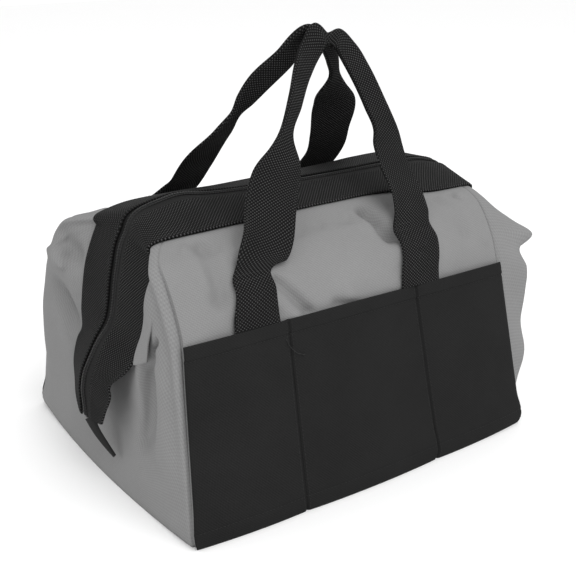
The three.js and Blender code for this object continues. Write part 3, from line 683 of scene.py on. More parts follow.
def add_mesh(name, at, faces, slot, uv=None, replaces=(), material=None):
    """A smooth piece from points in millimetres, riding on the bag, in its slot's finish or its own."""
    at = np.maximum(at, (-np.inf, -np.inf, 0))
    mesh = bpy.data.meshes.new(name)
    mesh.from_pydata((at * MM).tolist(), [], faces.tolist() if hasattr(faces, "tolist") else faces)
    if uv is not None:
        layer = mesh.uv_layers.new(name="cloth")
        corners = np.empty(len(mesh.loops), int)
        mesh.loops.foreach_get("vertex_index", corners)
        layer.data.foreach_set("uv", (uv[corners] * MM).astype(np.float32).ravel())
    mesh.materials.append(material or FINISHES[slot])
    mesh.validate()
    mesh.shade_smooth()
    piece = add_object(name, mesh)
    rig.ride(piece, "root")
    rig.slot(piece, slot)
    if replaces:
        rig.replaces(piece, *replaces)


def ring_faces(stations, around):
    """Quads of a closed tube of rings."""
    i = np.arange(stations - 1)[:, None]
    k = np.arange(around)[None, :]
    after = (k + 1) % around
    a = i * around + k
    b = i * around + after
    return np.stack([a, b, b + around, a + around], axis=-1).reshape(-1, 4)


def cloth_places(along, across):
    return np.stack(np.meshgrid(along, across, indexing="ij"), axis=-1).reshape(-1, 2)


def arc_lengths(line):
    return np.concatenate([[0], np.cumsum(np.linalg.norm(np.diff(line, axis=0), axis=1))])


def add_sheet(name, outer, thickness, slot, replaces=(), rim=2):
    """A cloth sheet under a grid of points, with its thickness inwards and round rims."""
    normals = grid_normals(outer)
    inner = outer - normals * thickness
    columns, rows = outer.shape[:2]
    turns = np.linspace(0, math.pi, rim + 2)[1:-1]

    def rim_points(edge, before, normal):
        middle = edge - normal * thickness / 2
        ahead = unit(edge - before) * thickness / 2
        rim_rows = [middle + ahead * math.sin(t) + normal * thickness / 2 * math.cos(t) for t in turns]
        return np.stack(rim_rows, axis=1)

    top = rim_points(outer[:, -1], outer[:, -2], normals[:, -1])
    low = rim_points(outer[:, 0], outer[:, 1], normals[:, 0])
    rings = np.concatenate([outer, top, inner[:, ::-1], low[:, ::-1]], axis=1)
    around = rings.shape[1]
    u = arc_lengths(outer[:, rows // 2])
    v = arc_lengths(outer[columns // 2])
    v_ring = np.concatenate([v, np.full(rim, v[-1]), v[::-1], np.full(rim, 0)])
    faces = ring_faces(columns, around)
    j = np.arange(rows - 1)
    under = rows + rim + rows - 1 - j
    first = np.stack([j + 1, j, under, under - 1], axis=-1)
    last = (columns - 1) * around
    final = np.stack([j, j + 1, under - 1, under], axis=-1) + last
    faces = np.concatenate([faces[:, ::-1], first[:, ::-1], final[:, ::-1]])
    add_mesh(name, rings.reshape(-1, 3), faces, slot, cloth_places(u, v_ring), replaces)


def tube_rings(line, normals, half_width, half_height, around):
    """Rings of an oval tube along a line."""
    ahead = unit(np.gradient(line, axis=0))
    face = unit(normals - ahead * (normals * ahead).sum(-1, keepdims=True))
    side = np.cross(ahead, face)
    angles = (np.arange(around) + 0.5) / around * TURN
    across = np.asarray(half_width)[..., None] * np.cos(angles)
    off = np.asarray(half_height)[..., None] * np.sin(angles)
    return line[:, None] + side[:, None] * across[..., None] + face[:, None] * off[..., None]


def capped(rings):
    """Faces of a tube of rings with both its ends closed."""
    stations, around = rings.shape[:2]
    faces = ring_faces(stations, around).tolist()
    faces.append(list(range(around))[::-1])
    faces.append([(stations - 1) * around + i for i in range(around)])
    return faces


def add_tubes(name, shells, slot, uv, replaces):
    """One piece of closed tubes of rings."""
    faces = []
    count = 0
    for rings in shells:
        faces += [[corner + count for corner in face] for face in capped(rings)]
        count += rings.size // 3
    places = np.concatenate([rings.reshape(-1, 3) for rings in shells])
    add_mesh(name, places, faces, slot, uv, replaces)


STITCH_LENGTH = 2.1
STITCH_PITCH = 3.1
STITCH_RADIUS = 0.22
STITCH_SIDES = 6
THREAD_RADIUS = 0.32
THREAD_SIDES = 6
# A stitch's rings: along as a share of its length, radius and rise as shares of STITCH_RADIUS
STITCH_RINGS = (
    (-0.5, 0.3, -0.35),
    (-0.36, 0.9, 0),
    (0.36, 0.9, 0),
    (0.5, 0.3, -0.35),
)
# The faces that close a stitch's two ends, by the corners of its rings
STITCH_CAPS = np.array([
    (3, 2, 1, 0),
    (5, 4, 3, 0),
    (18, 19, 20, 21),
    (18, 21, 22, 23),
])


def stitches(line, out):
    """Points and faces of sewn stitches along a line. Out points away from the cloth."""
    lengths = arc_lengths(line)
    places = np.arange(STITCH_PITCH / 2, lengths[-1] - STITCH_PITCH / 2, STITCH_PITCH)
    middle = read_line(line, lengths, places)
    ahead = unit(read_line(line, lengths, places + 1) - read_line(line, lengths, places - 1))
    face = unit(read_line(np.broadcast_to(out, line.shape), lengths, places))
    side = np.cross(ahead, face)
    rings = []
    for along, radius, rise in STITCH_RINGS:
        for angle in np.arange(STITCH_SIDES) / STITCH_SIDES * TURN:
            off = face * (math.sin(angle) * radius + rise) + side * math.cos(angle) * radius
            rings.append(middle + ahead * along * STITCH_LENGTH + off * STITCH_RADIUS)
    at_all = np.stack(rings, axis=1)
    quads = ring_faces(len(STITCH_RINGS), STITCH_SIDES)
    shift = np.arange(len(places))[:, None, None] * len(rings)
    faces = np.concatenate([quads[:, ::-1], STITCH_CAPS[:, ::-1]])
    return at_all.reshape(-1, 3), (faces[None] + shift).reshape(-1, 4)


def add_stitches(name, lines, ends=()):
    """One piece of all the stitches along lines of one side, with the ends of thread left on it."""
    places = []
    faces = []
    count = 0
    for line in ends:
        away = np.broadcast_to(line[-1] - line[0], line.shape)
        rings = tube_rings(line, np.cross(away, (0, 0, 1)), THREAD_RADIUS, THREAD_RADIUS, THREAD_SIDES)
        places.append(rings.reshape(-1, 3))
        faces.append(ring_faces(len(line), THREAD_SIDES) + count)
        count += len(line) * THREAD_SIDES
    for line, out in lines:
        more, quads = stitches(line, out)
        places.append(more)
        faces.append(quads + count)
        count += len(more)
    add_mesh(name, np.concatenate(places), np.concatenate(faces), "webbing", material=dark_thread)


# Walls of grey cloth
WALL_COLUMNS = 180
END_COLUMNS = 170
LOW_WALL_ROWS = 30
HIGH_WALL_ROWS = 62
END_CLOSENESS = 0.6
# Shares of the wall over which the waves fade out at the seams, below the band and above the floor
WAVE_FADE = (0.06, 0.05, 0.04)
SMALL_WAVE = 1.1
FINE_WAVE = 0.35
SEWN_SHARE = 0.07
SEAM_DEPTH = 2.8
SEAM_WIDE = 1.9
PUCKER_RANGE = (0.06, 0.94)
PUCKER_JITTER = 0.015
PUCKER_LEAN = 0.02
PUCKER_TOP = 0.99
PUCKER_FOOT = (0.88, 0.94)
PUCKER_DEPTH = (-1.1, -0.4)
PUCKER_WIDE = 2.6
wall_up = np.concatenate([
    np.linspace(0, POCKET_UP, LOW_WALL_ROWS, endpoint=False),
    np.linspace(POCKET_UP, 1, HIGH_WALL_ROWS),
])
small_waves = Noise(3, (46, 46, 30))
fine_waves = Noise(5, (15, 15, 12))


def closer_at_ends(count):
    """Shares from 0 to 1 that lie closer together near both ends."""
    even = np.linspace(0, 1, count)
    return even - END_CLOSENESS * np.sin(TURN * even) / TURN


def wrinkled(grid, strength):
    """Adds soft uneven waves, which fade out at the seams."""
    columns, rows = grid.shape[:2]
    across = np.linspace(0, 1, columns)[:, None]
    up = np.linspace(0, 1, rows)[None, :]
    waves = small_waves(grid) * SMALL_WAVE + fine_waves(grid) * FINE_WAVE
    return grid + grid_normals(grid) * (waves * fading(across, up, WAVE_FADE) * strength)[..., None]


def nearest(places, mark):
    return np.abs(places - mark).argmin()


def creased(grid, across, up, creases):
    """Adds narrow folds along short lines of the wall."""
    moves = np.zeros(grid.shape[:2])
    for from_across, from_up, to_across, to_up, depth, wide in creases:
        first = grid[nearest(across, from_across), nearest(up, from_up)]
        last = grid[nearest(across, to_across), nearest(up, to_up)]
        run = last - first
        share = np.clip((grid - first) @ run / (run @ run), 0, 1)
        distance = np.linalg.norm(grid - first - share[..., None] * run, axis=-1)
        moves += depth * bell(distance, wide)
    sewn = smooth((1 - up) / SEWN_SHARE)
    return grid + grid_normals(grid) * (moves * sewn)[..., None]


def puckers(seed, count):
    """Short gathers of the cloth below the webbing."""
    chance = np.random.default_rng(seed)
    rows = []
    for at in np.linspace(*PUCKER_RANGE, count) + chance.uniform(-PUCKER_JITTER, PUCKER_JITTER, count):
        lean = chance.uniform(-PUCKER_LEAN, PUCKER_LEAN)
        foot = chance.uniform(*PUCKER_FOOT)
        depth = chance.uniform(*PUCKER_DEPTH)
        rows.append((at, PUCKER_TOP, at + lean, foot, depth, PUCKER_WIDE))
    return rows


def seam_sunk(grid):
    """Pulls the cloth in along both corner seams of a wall."""
    moved = grid.copy()
    for seam in (grid[0], grid[-1]):
        inward = unit(np.array([-np.sign(seam[0, 0]), -np.sign(seam[0, 1]), 0]))
        distance = np.linalg.norm(grid - seam, axis=-1)
        moved += inward * (SEAM_DEPTH * bell(distance, SEAM_WIDE))[..., None]
    return moved


def add_walls():
    """The four cloth walls. Each runs anticlockwise round the bag, seen from above."""
    across = closer_at_ends(WALL_COLUMNS)
    around = closer_at_ends(END_COLUMNS)
    back_creases = [(1 - a, b, 1 - c, d, depth, wide) for a, b, c, d, depth, wide in LONG_CREASES]
    plans = (
        ("front_panel", side_wall, across, FRONT, [*LONG_CREASES, *puckers(11, 22)]),
        ("right_end", end_wall, around, RIGHT, [*RIGHT_CREASES, *puckers(12, 12)]),
        ("back_panel", side_wall, across[::-1], BACK, [*back_creases, *puckers(13, 22)]),
        ("left_end", end_wall, around[::-1], LEFT, [*LEFT_CREASES, *puckers(14, 12)]),
    )
    grids = {}
    for node, wall, places, side, creases in plans:
        plain = wrinkled(wall(places, wall_up, side), 1)
        grid = seam_sunk(creased(plain, places, wall_up, creases))
        add_sheet(node.replace("_", "-"), grid, WALL, "grey_cloth", [node])
        grids[node] = grid
    return grids


walls = add_walls()

# The cloth flap beside the webbing at the left end: across and up beside the webbing, then at its free side
FLAP_ROWS = np.array([
    (0.262, 0.87, 0.2, 0.762),
    (0.225, 0.9, 0.165, 0.752),
    (0.19, 0.93, 0.115, 0.748),
    (0.12, 0.95, 0.055, 0.775),
    (0.05, 0.975, 0.02, 0.83),
    (0.015, 0.985, 0.006, 0.9),
])
FLAP_THICKNESS = 1.2
FLAP_LIFT = (4.6, -2.6)
FLAP_TUCK = 1.2
FLAP_STEPS = 44
FLAP_COLUMNS = 18


def on_wall(values, places, across, up):
    """Values of a wall's grid read between its points."""
    order = np.argsort(places)
    i = np.interp(across, places[order], order)
    j = np.interp(up, wall_up, np.arange(len(wall_up)))
    i0 = np.clip(np.floor(i).astype(int), 0, len(places) - 2)
    j0 = np.clip(np.floor(j).astype(int), 0, len(wall_up) - 2)
    i_part = (i - i0)[..., None]
    j_part = (j - j0)[..., None]
    low = mix(values[i0, j0], values[i0 + 1, j0], i_part)
    high = mix(values[i0, j0 + 1], values[i0 + 1, j0 + 1], i_part)
    return mix(low, high, j_part)


def add_flap():
    """A loose fold of the end wall's cloth that lies along the webbing."""
    keys = np.linspace(0, 1, len(FLAP_ROWS))
    climb = np.linspace(0, 1, FLAP_STEPS)
    sides = [track(keys, column)(climb) for column in FLAP_ROWS.T]
    share = np.linspace(0, 1, FLAP_COLUMNS)[:, None]
    across = mix(sides[0], sides[2], share)
    up = mix(sides[1], sides[3], share)
    places = closer_at_ends(END_COLUMNS)[::-1]
    plain = wrinkled(end_wall(places, wall_up, LEFT), 1)
    wall = on_wall(plain, places, across, up)
    out = on_wall(grid_normals(plain), places, across, up)
    lift = mix(*FLAP_LIFT, smooth(climb * 1.5)) - FLAP_TUCK * (1 - climb) * (1 - share)
    outer = wall + unit(out) * (lift + FLAP_THICKNESS)[..., None]
    add_sheet("left-flap", outer, FLAP_THICKNESS, "grey_cloth")


add_flap()


# Base board
BASE_INSET = WALL + 5 * GAP
BASE_CLEAR = 0.2
BASE_TALL = BASE_THICKNESS - 0.3
BASE_RINGS = 30


def add_base():
    rim = np.concatenate([grid[:-1, 0] for grid in walls.values()])
    middle = rim.mean(axis=0)
    inset = rim + unit(middle - rim) * BASE_INSET
    shares = np.linspace(0, 1, BASE_RINGS)
    low = middle + (inset - middle) * shares[1:, None, None]
    low[..., 2] = BASE_CLEAR
    high = low[::-1] + np.array([0, 0, BASE_TALL])
    rings = np.concatenate([low, high])
    add_tubes("base-board", [rings], "black_cloth", rings[..., :2].reshape(-1, 2), ["base_panel"])


add_base()


# Pocket panels
POCKET_HEM = 10
POCKET_FOOT_HEM = 12.5
POCKET_SHEET = 1.2
POCKET_EDGE = 0.004
POCKET_COLUMNS = 150
POCKET_ROWS = 48
POCKET_WAVES = 0.7
FULLNESS_BEND = 0.6
SEAM_STITCHES = 2.6
SEAM_REACH = 6
HEM_REACH = 3
FINE_STEP = 0.5
GROOVE_DEPTH = 1.3
GROOVE_WIDE = 1.2
HEM_RISE = 0.55
HEM_SLOPE = 1.5
# Lines of sewing that sink into the pocket: height, depth, width
HEM_SEWING = (
    (POCKET_FOOT_HEM, 0.45, 1.1),
    (POCKET_HEIGHT - POCKET_HEM, 0.4, 1.0),
)
THREAD_STEPS = 24
# The end of sewing thread at the left seam: share, x, z, how far off the cloth
THREAD_END = np.array([
    (0, -69, 129, 0.3),
    (0.3, -67.5, 124, 2.2),
    (0.65, -63, 118.5, 2.6),
    (1, -56, 115, 1.2),
])


def close_to(places, marks, reach, step):
    """The places with more of them around each mark."""
    near = [np.arange(mark - reach, mark + reach, step) for mark in marks]
    return np.unique(np.round(np.concatenate([places, *near]), 3))


def add_pocket(side_name, outward):
    """A pocket panel with its two seams, its hems and all their stitches."""
    name = "pocket-" + side_name
    marks = [0.5 + seam / BASE_LENGTH for seam in POCKET_SEAMS]
    even = np.linspace(POCKET_EDGE, 1 - POCKET_EDGE, POCKET_COLUMNS)
    across = close_to(even, marks, SEAM_REACH / BASE_LENGTH, FINE_STEP / BASE_LENGTH)
    hems = [hem_height for hem_height, depth, wide in HEM_SEWING]
    height = close_to(np.linspace(0, POCKET_HEIGHT, POCKET_ROWS), hems, HEM_REACH, FINE_STEP)
    up = np.interp(height / POCKET_HEIGHT, LOW_ROWS, ROW_UP[:len(LOW_ROWS)])
    order = across if outward == FRONT else across[::-1]
    wall = side_wall(order, up, outward)
    marks_here = np.array([0, *marks, 1])
    fullness = np.zeros(len(order))
    groove = np.zeros(len(order))
    for low, high in zip(marks_here, marks_here[1:]):
        share = np.clip((order - low) / (high - low), 0, 1)
        fullness += POCKET_FULLNESS * np.sin(np.pi * share) ** FULLNESS_BEND
    for mark in marks:
        groove += GROOVE_DEPTH * bell((order - mark) * BASE_LENGTH, GROOVE_WIDE)
    relief = HEM_RISE * smooth((height - (POCKET_HEIGHT - POCKET_HEM)) / HEM_SLOPE)
    for hem_height, depth, wide in HEM_SEWING:
        relief -= depth * bell(height - hem_height, wide)
    lift = GAP + POCKET_CLOTH + fullness[:, None] - groove[:, None] + relief[None]
    outer = wrinkled(wall + grid_normals(wall) * lift[..., None], POCKET_WAVES)
    add_sheet(name, outer, POCKET_SHEET, "black_cloth", ["pocket_" + side_name])
    out = grid_normals(outer)
    lines = []
    for mark in marks:
        for side in (-SEAM_STITCHES, SEAM_STITCHES):
            i = np.abs(order - mark - side / BASE_LENGTH).argmin()
            lines.append((outer[i], out[i]))
    for hem_height in hems[::-1]:
        j = nearest(height, hem_height)
        lines.append((outer[:, j], out[:, j]))
    ends = []
    if outward == FRONT:
        x, z, off = read_table(THREAD_END, np.linspace(0, 1, THREAD_STEPS))
        i = np.abs(outer[:, len(up) // 2, 0][:, None] - x).argmin(axis=0)
        j = np.abs(height[:, None] - z).argmin(axis=0)
        ends.append(points(x, outer[i, j, 1] - off, z))
    add_stitches(name + "-stitches", lines, ends)


add_pocket("front", FRONT)
add_pocket("back", BACK)


# Webbing bands, zip tapes and the coil
zip_ways = np.concatenate([
    np.linspace(ZIP_START, 0, 110, endpoint=False),
    np.linspace(0, 1, 170, endpoint=False),
    np.linspace(1, ZIP_END, 110),
])
TAPE_START = COIL_WIDTH / 2 + 2 * GAP
WEBBING_START = TAPE_START + TAPE_SHOWN
TAPE_UNDER_COIL = 0.2
TAPE_LIFT = 0.15
BAND_WAVE = 0.9
BACK_TAPE_HIDDEN = 4
BAND_STEPS = 16
BAND_RIM = 3
TAPE_STEPS = 10
# Most shares of the way from the coil to the band's edge, where the hanging ends are narrow
WEBBING_START_MOST = 0.66
TAPE_START_MOST = 0.4
TAPE_STOP_MOST = 0.85
band_waves = Noise(7, (30, 60, 30))


def band_grid(outward, start, stop, lift, steps):
    """A sheet along the zip from its start to its stop, both as shares from the coil to the band's edge."""
    shares = stop + (start - stop) * np.linspace(0, 1, steps)[:, None]
    grid = np.stack([band_point(zip_ways, share, outward) for share in shares], axis=1)
    if outward == BACK:
        grid = grid[::-1]
    return grid + grid_normals(grid) * lift


def add_band(side, outward):
    """The webbing band of one side of the zip, its two lines of stitches and the zip's tape under it."""
    reach = np.linalg.norm(edge_at(zip_ways, outward) - coil_at(zip_ways), axis=-1)
    hidden = 0 if outward == FRONT else BACK_TAPE_HIDDEN
    start = np.minimum((WEBBING_START - hidden) / reach, WEBBING_START_MOST)
    band = band_grid(outward, start, 1, GAP + WEBBING_THICKNESS, BAND_STEPS)
    swell = BAND_WAVE * (band_waves(band) + 1) / 2
    band = band + grid_normals(band) * swell[..., None]
    add_sheet("band-" + side, band, WEBBING_THICKNESS, "webbing", ["band_" + side], BAND_RIM)
    start = np.minimum(TAPE_UNDER_COIL / reach, TAPE_START_MOST)
    stop = np.minimum((WEBBING_START + TAPE_TUCKED) / reach, TAPE_STOP_MOST)
    tape = band_grid(outward, start, stop, TAPE_LIFT, TAPE_STEPS)
    add_sheet("tape-" + side, tape, TAPE_THICKNESS, "zip_tape", ["tape_" + side])
    out = grid_normals(band)
    lines = [(band[:, i], out[:, i]) for i in (1, -2)]
    add_stitches("band-" + side + "-stitches", lines)


add_band("front", FRONT)
add_band("back", BACK)


def even_line(line, spacing):
    """A line drawn again with points at an even spacing."""
    lengths = arc_lengths(line)
    return read_line(line, lengths, np.arange(0, lengths[-1], spacing))


# Coil: rows of loops on a core. A wire is its half width, half height and sides
COIL_SAMPLES = 3000
LOOP_SPACING = 1.15
LOOP_STEPS = 9
LOOP_REACH = (-0.75, 2.65)
LOOP_ARCH = (0.35 * math.pi, 0.95 * math.pi)
LOOP_DROP = 0.1
LOOP_WIRE = (0.46, 0.45, 6)
CORE_WIRE = (2.3, 0.55, 10)


def add_coil():
    """Two rows of coil loops that lock over one another, on a cord down the middle."""
    line = even_line(coil_at(np.linspace(ZIP_START, ZIP_END, COIL_SAMPLES)), LOOP_SPACING)
    ahead = unit(np.gradient(line, axis=0))
    face = unit(np.cross(ahead, points(0, 1, 0)))
    face = np.where((face[:, 2:3] < 0) & (np.abs(ahead[:, :1]) > 0.2), -face, face)
    aside = np.linspace(*LOOP_REACH, LOOP_STEPS)
    rise = COIL_HEIGHT / 2 * np.sin(np.linspace(*LOOP_ARCH, LOOP_STEPS)) - LOOP_DROP
    shells = []
    for i in range(2, len(line) - 2):
        side = 1 if i % 2 else -1
        place = line[i] + np.outer(side * aside, [0, 1, 0]) + np.outer(rise, face[i])
        shells.append(tube_rings(place, np.broadcast_to(face[i], place.shape), *LOOP_WIRE))
    shells.append(tube_rings(line, face, *CORE_WIRE))
    add_tubes("zip-coil", shells, "coil", None, ["zip_coil"])


add_coil()

# Hanging ends of the zip: along, inward, forward, drop, width
TAIL_LENGTH = 32
TAIL_WIDTH = 13
TAIL_THICKNESS = 2.0
TAIL_OVERLAP = 1
TAIL_SIDES = 16
TAIL_FACING = -0.3
TAIL_WEAVE_STEP = 1.6
TAIL_STEPS = 40
TAIL_ROWS = np.array([
    (0, 0.03, 0.12, 0, 1),
    (0.4, 0.1, 0.34, 0.32, 0.75),
    (0.75, 0.2, 0.62, 0.6, 0.55),
    (1, 0.28, 0.86, 0.8, 0.3),
])


def add_tail(name, way, end, node):
    """The narrow hanging end of the zip at one end of the bag."""
    start = coil_at(way)
    inward, forward, drop, width = read_table(TAIL_ROWS, np.linspace(0, 1, TAIL_STEPS))
    x = start[0] - end * inward * TAIL_LENGTH
    z = start[2] + TAIL_OVERLAP - drop * TAIL_LENGTH
    line = points(x, -forward * TAIL_LENGTH, z)
    face = np.broadcast_to(np.array([end, TAIL_FACING, 0.0]), line.shape)
    rings = tube_rings(line, face, width * TAIL_WIDTH / 2, TAIL_THICKNESS / 2, TAIL_SIDES)
    uv = cloth_places(arc_lengths(line), np.arange(TAIL_SIDES) * TAIL_WEAVE_STEP)
    add_tubes(name, [rings], "zip_tape", uv, [node])


add_tail("zip-tail-left", ZIP_START, LEFT, "zip_tail_left")
add_tail("zip-tail-right", ZIP_END, RIGHT, "zip_tail_right")

# Handles: rise to the neck, bow as a share of HANDLE_SPACING, sag, width, folded, turn in degrees
FRONT_LEFT_STRAND = (
    (0.05, 0.048, 0, 0.92, 0, 3),
    (0.12, 0.056, 0, 1, 0, 8),
    (0.27, 0.005, 0, 1, 0, 22),
    (0.38, -0.02, 0, 0.96, 0, 22),
    (0.48, -0.012, 0, 0.74, 0.4, -10),
    (0.58, -0.051, 0, 0.38, 1, -35),
    (0.72, -0.067, 0, 0.42, 1, -40),
    (0.86, -0.088, 0, 0.48, 1, -30),
    (0.96, -0.08, 0, 0.5, 1, -8),
    (1.03, -0.075, 0.05, 0.5, 1, 0),
)
FRONT_RIGHT_STRAND = (
    (0.07, 0.078, 0, 0.95, 0, -5),
    (0.15, 0.098, 0, 0.93, 0, -10),
    (0.335, 0.093, 0, 0.93, 0, -14),
    (0.42, 0.106, 0, 0.85, 0.4, -10),
    (0.5, 0.132, 0, 0.62, 1, 0),
    (0.633, 0.133, 0, 0.54, 1, 8),
    (0.82, 0.122, 0, 0.53, 1, 8),
    (0.93, 0.1, 0, 0.53, 1, 5),
    (1.0, 0.055, 0.02, 0.48, 1, 0),
)
BACK_LEFT_STRAND = (
    (0.12, 0.03, -0.04, 1, 0, -8),
    (0.352, -0.09, -0.13, 1, 0, -14),
    (0.49, -0.095, -0.1, 0.74, 0.4, -24),
    (0.59, -0.118, -0.08, 0.3, 1, -10),
    (0.67, -0.135, -0.06, 0.42, 1, 18),
    (0.757, -0.148, -0.046, 0.5, 1, 33),
    (0.894, -0.125, -0.026, 0.5, 1, 28),
    (1.02, -0.085, 0.05, 0.5, 1, 4),
)
BACK_RIGHT_STRAND = (
    (0.141, 0.1, -0.04, 1, 0, 4),
    (0.26, 0.13, -0.09, 1, 0, 8),
    (0.38, 0.13, -0.1, 1, 0, 10),
    (0.592, 0.14, -0.06, 1, 0, 14),
    (0.68, 0.11, -0.05, 0.72, 0.4, 0),
    (0.765, 0.118, -0.04, 0.32, 1, -20),
    (0.862, 0.098, -0.02, 0.32, 1, -20),
    (0.937, 0.06, -0.01, 0.32, 1, -20),
)

seat_columns = np.linspace(0, 1, 241)
seat_walls = {outward: side_wall(seat_columns, ROW_UP, outward) for outward in (FRONT, BACK)}


def wall_at(x, rise, outward):
    """The long wall at a place along the bag and a rise above the pocket's top."""
    rows = seat_walls[outward].transpose(1, 0, 2)[len(LOW_ROWS) - 1:]
    column = np.array([read_line(row, row[:, 0], x) for row in rows])
    height = POCKET_HEIGHT + rise
    return np.array([x, np.interp(height, column[:, 2], column[:, 1]), height])


FOOT_STEPS = 4
# The creases above the two sewn feet of a handle: rise above the pocket, way aside, width
FRONT_CREASES = ((CREASE_RISE, 4.5, 0.84), (RIGHT_CREASE_RISE, 6, 0.98))
BACK_CREASES = ((CREASE_RISE, 0, 1), (CREASE_RISE, 0, 1))


def strand(foot_x, outward, neck, table, crease):
    """Stations of one strand from its foot at the pocket's top: place, width, folded, turn and tilt."""
    stations = []
    seat = GAP + WEBBING_THICKNESS / 2 + FOOT_SEAT
    crease_rise, crease_aside, crease_width = crease
    for rise in np.linspace(GAP, crease_rise, FOOT_STEPS + 1):
        share = smooth(rise / crease_rise)
        here = wall_at(foot_x, rise, outward)
        slope = wall_at(foot_x, rise + 2, outward) - here
        out = unit(np.array([0, outward * slope[2], -outward * slope[1]]))
        beside = [wall_at(foot_x + part * WEBBING_WIDTH / 2, rise, outward) for part in (-1, -0.5, 0.5, 1)]
        swell = max(0, *[(place - here) @ out for place in beside])
        tilt = -outward * math.degrees(math.asin(out[2]))
        place = here + out * (seat + swell) + np.array([share ** 2 * crease_aside, 0, 0])
        stations.append((*place, WEBBING_WIDTH * mix(1, crease_width, share), 0, 0, tilt))
    start = np.array(stations[-1][:3]) - np.array([crease_aside, 0, 0])
    for rise, bow, sag, width, folded, turn in table:
        x, y, z = start + (neck - start) * rise
        x += bow * HANDLE_SPACING
        y += sag * abs(start[1]) * outward
        stations.append((x, y, z, width * WEBBING_WIDTH, folded, turn, -outward * STRAND_TILT))
    return stations


STIFF_STRETCH = 20
CREASE_STRETCH = 32
CREASE_WIDE = 1.3
CREASE_THINNED = 0.45
GRIP_STEPS = 620
STRAP_STITCHES = 2.4
STITCH_LIFT = 0.1
STRAP_CROWN = 0.12
STRAP_STEPS = 11
OPEN_NOTCH = 1.6
CREASE_STITCHES = 2.5
CROSS_LOW = 5
CROSS_HIGH = 4
CROSS_STEPS = 30


def strap_section(width, folded, thickness):
    """The section of a strap: flat webbing, or webbing folded over with its open edge on one side."""
    half = width / 2
    t = thickness / 2
    across = np.linspace(-1, 1, STRAP_STEPS)
    crown = t + STRAP_CROWN * (1 - across ** 2)
    top = np.stack([across * (half - t * 0.8), crown], axis=1)
    low = -top
    notch = folded * OPEN_NOTCH
    open_edge = np.array([(half, t * 0.55), (half - notch, 0), (half, -t * 0.55)])
    closed_edge = np.array([(-half, -t * 0.5), (-half - t * 0.1, 0), (-half, t * 0.5)])
    return np.concatenate([top, open_edge, low, closed_edge])


def add_handle(side_name, outward, left_table, right_table, creases):
    """One webbing handle with the stitches along its edges, on its feet and at its creases."""
    shift = HANDLE_SHIFT if outward == FRONT else -HANDLE_SHIFT
    neck = np.array([NECK[0], outward * NECK_SPREAD / 2, NECK[2]])
    left = strand(shift - HANDLE_SPACING / 2, outward, neck, left_table, creases[0])
    right = strand(shift + HANDLE_SPACING / 2, outward, neck, right_table, creases[1])
    rows = np.array([*left, (*neck, NECK_WIDTH * WEBBING_WIDTH, 1, 0, 0), *right[::-1]], float)
    length = arc_lengths(rows[:, :3])
    full = length[-1]
    places = np.linspace(0, full, GRIP_STEPS)
    curves = [track(length, column) for column in rows.T]

    def at(place):
        return np.stack([curve(place) for curve in curves[:3]], axis=-1)

    line = at(places)
    ahead = unit(at(places + STIFF_STRETCH) - at(places - STIFF_STRETCH))
    sewn = (length[FOOT_STEPS], full - length[-1 - FOOT_STEPS])
    feet = [at(sewn[0]) - at(0), at(full) - at(full - sewn[1])]
    pressed = 0
    for distance, crease, foot in zip((places, full - places), sewn, feet):
        foot[0] = 0
        held = 1 - smooth((distance - crease) / CREASE_STRETCH)
        ahead = unit(mix(ahead, unit(foot), held[:, None]))
        pressed = pressed + bell(distance - crease, CREASE_WIDE)
    width, folded, turn, tilt = [curve(places) for curve in curves[3:]]
    folded = np.clip(folded, 0, 1)
    turn, tilt = np.radians([turn, tilt])
    level = np.cos(tilt)
    faces = points(-np.sin(turn) * level, -np.cos(turn) * level, np.sin(tilt))
    face = unit(faces - ahead * (faces * ahead).sum(-1, keepdims=True))
    side = np.cross(ahead, face)
    thickness = mix(WEBBING_THICKNESS, GRIP_THICKNESS, folded) * (1 - CREASE_THINNED * pressed)
    sections = np.stack([strap_section(w, f, t) for w, f, t in zip(width, folded, thickness)])
    rings = line[:, None] + side[:, None] * sections[..., :1] + face[:, None] * sections[..., 1:]
    along = arc_lengths(line)
    uv = np.stack([np.broadcast_to(along[:, None], sections.shape[:2]), sections[..., 0]], axis=-1)
    add_tubes("handle-" + side_name, [rings], "webbing", uv.reshape(-1, 2), ["handle_" + side_name])
    off = (width / 2 - STRAP_STITCHES)[:, None]
    skin = line + face * (thickness[:, None] / 2 + STITCH_LIFT)
    lines = [(skin + side * off, face), (skin - side * off, face)]
    steps = np.linspace(0, 1, CROSS_STEPS)
    crosses = [(CROSS_LOW, sewn[0] - CROSS_HIGH), (full - CROSS_LOW, full - sewn[1] + CROSS_HIGH)]
    for low, high in crosses:
        i = np.interp(mix(low, high, steps), places, np.arange(len(places))).astype(int)
        for first in (-1, 1):
            lines.append((skin[i] + side[i] * off[i] * first * (1 - 2 * steps[:, None]), face[i]))
    for crease in (sewn[0], full - sewn[1]):
        for beyond in (-CREASE_STITCHES, CREASE_STITCHES):
            i = np.abs(places - crease - beyond).argmin()
            line_across = skin[i] + side[i] * np.linspace(-1, 1, 20)[:, None] * off[i]
            lines.append((line_across, face[i]))
    add_stitches("handle-" + side_name + "-stitches", lines)


add_handle("front", FRONT, FRONT_LEFT_STRAND, FRONT_RIGHT_STRAND, FRONT_CREASES)
add_handle("back", BACK, BACK_LEFT_STRAND, BACK_RIGHT_STRAND, BACK_CREASES)

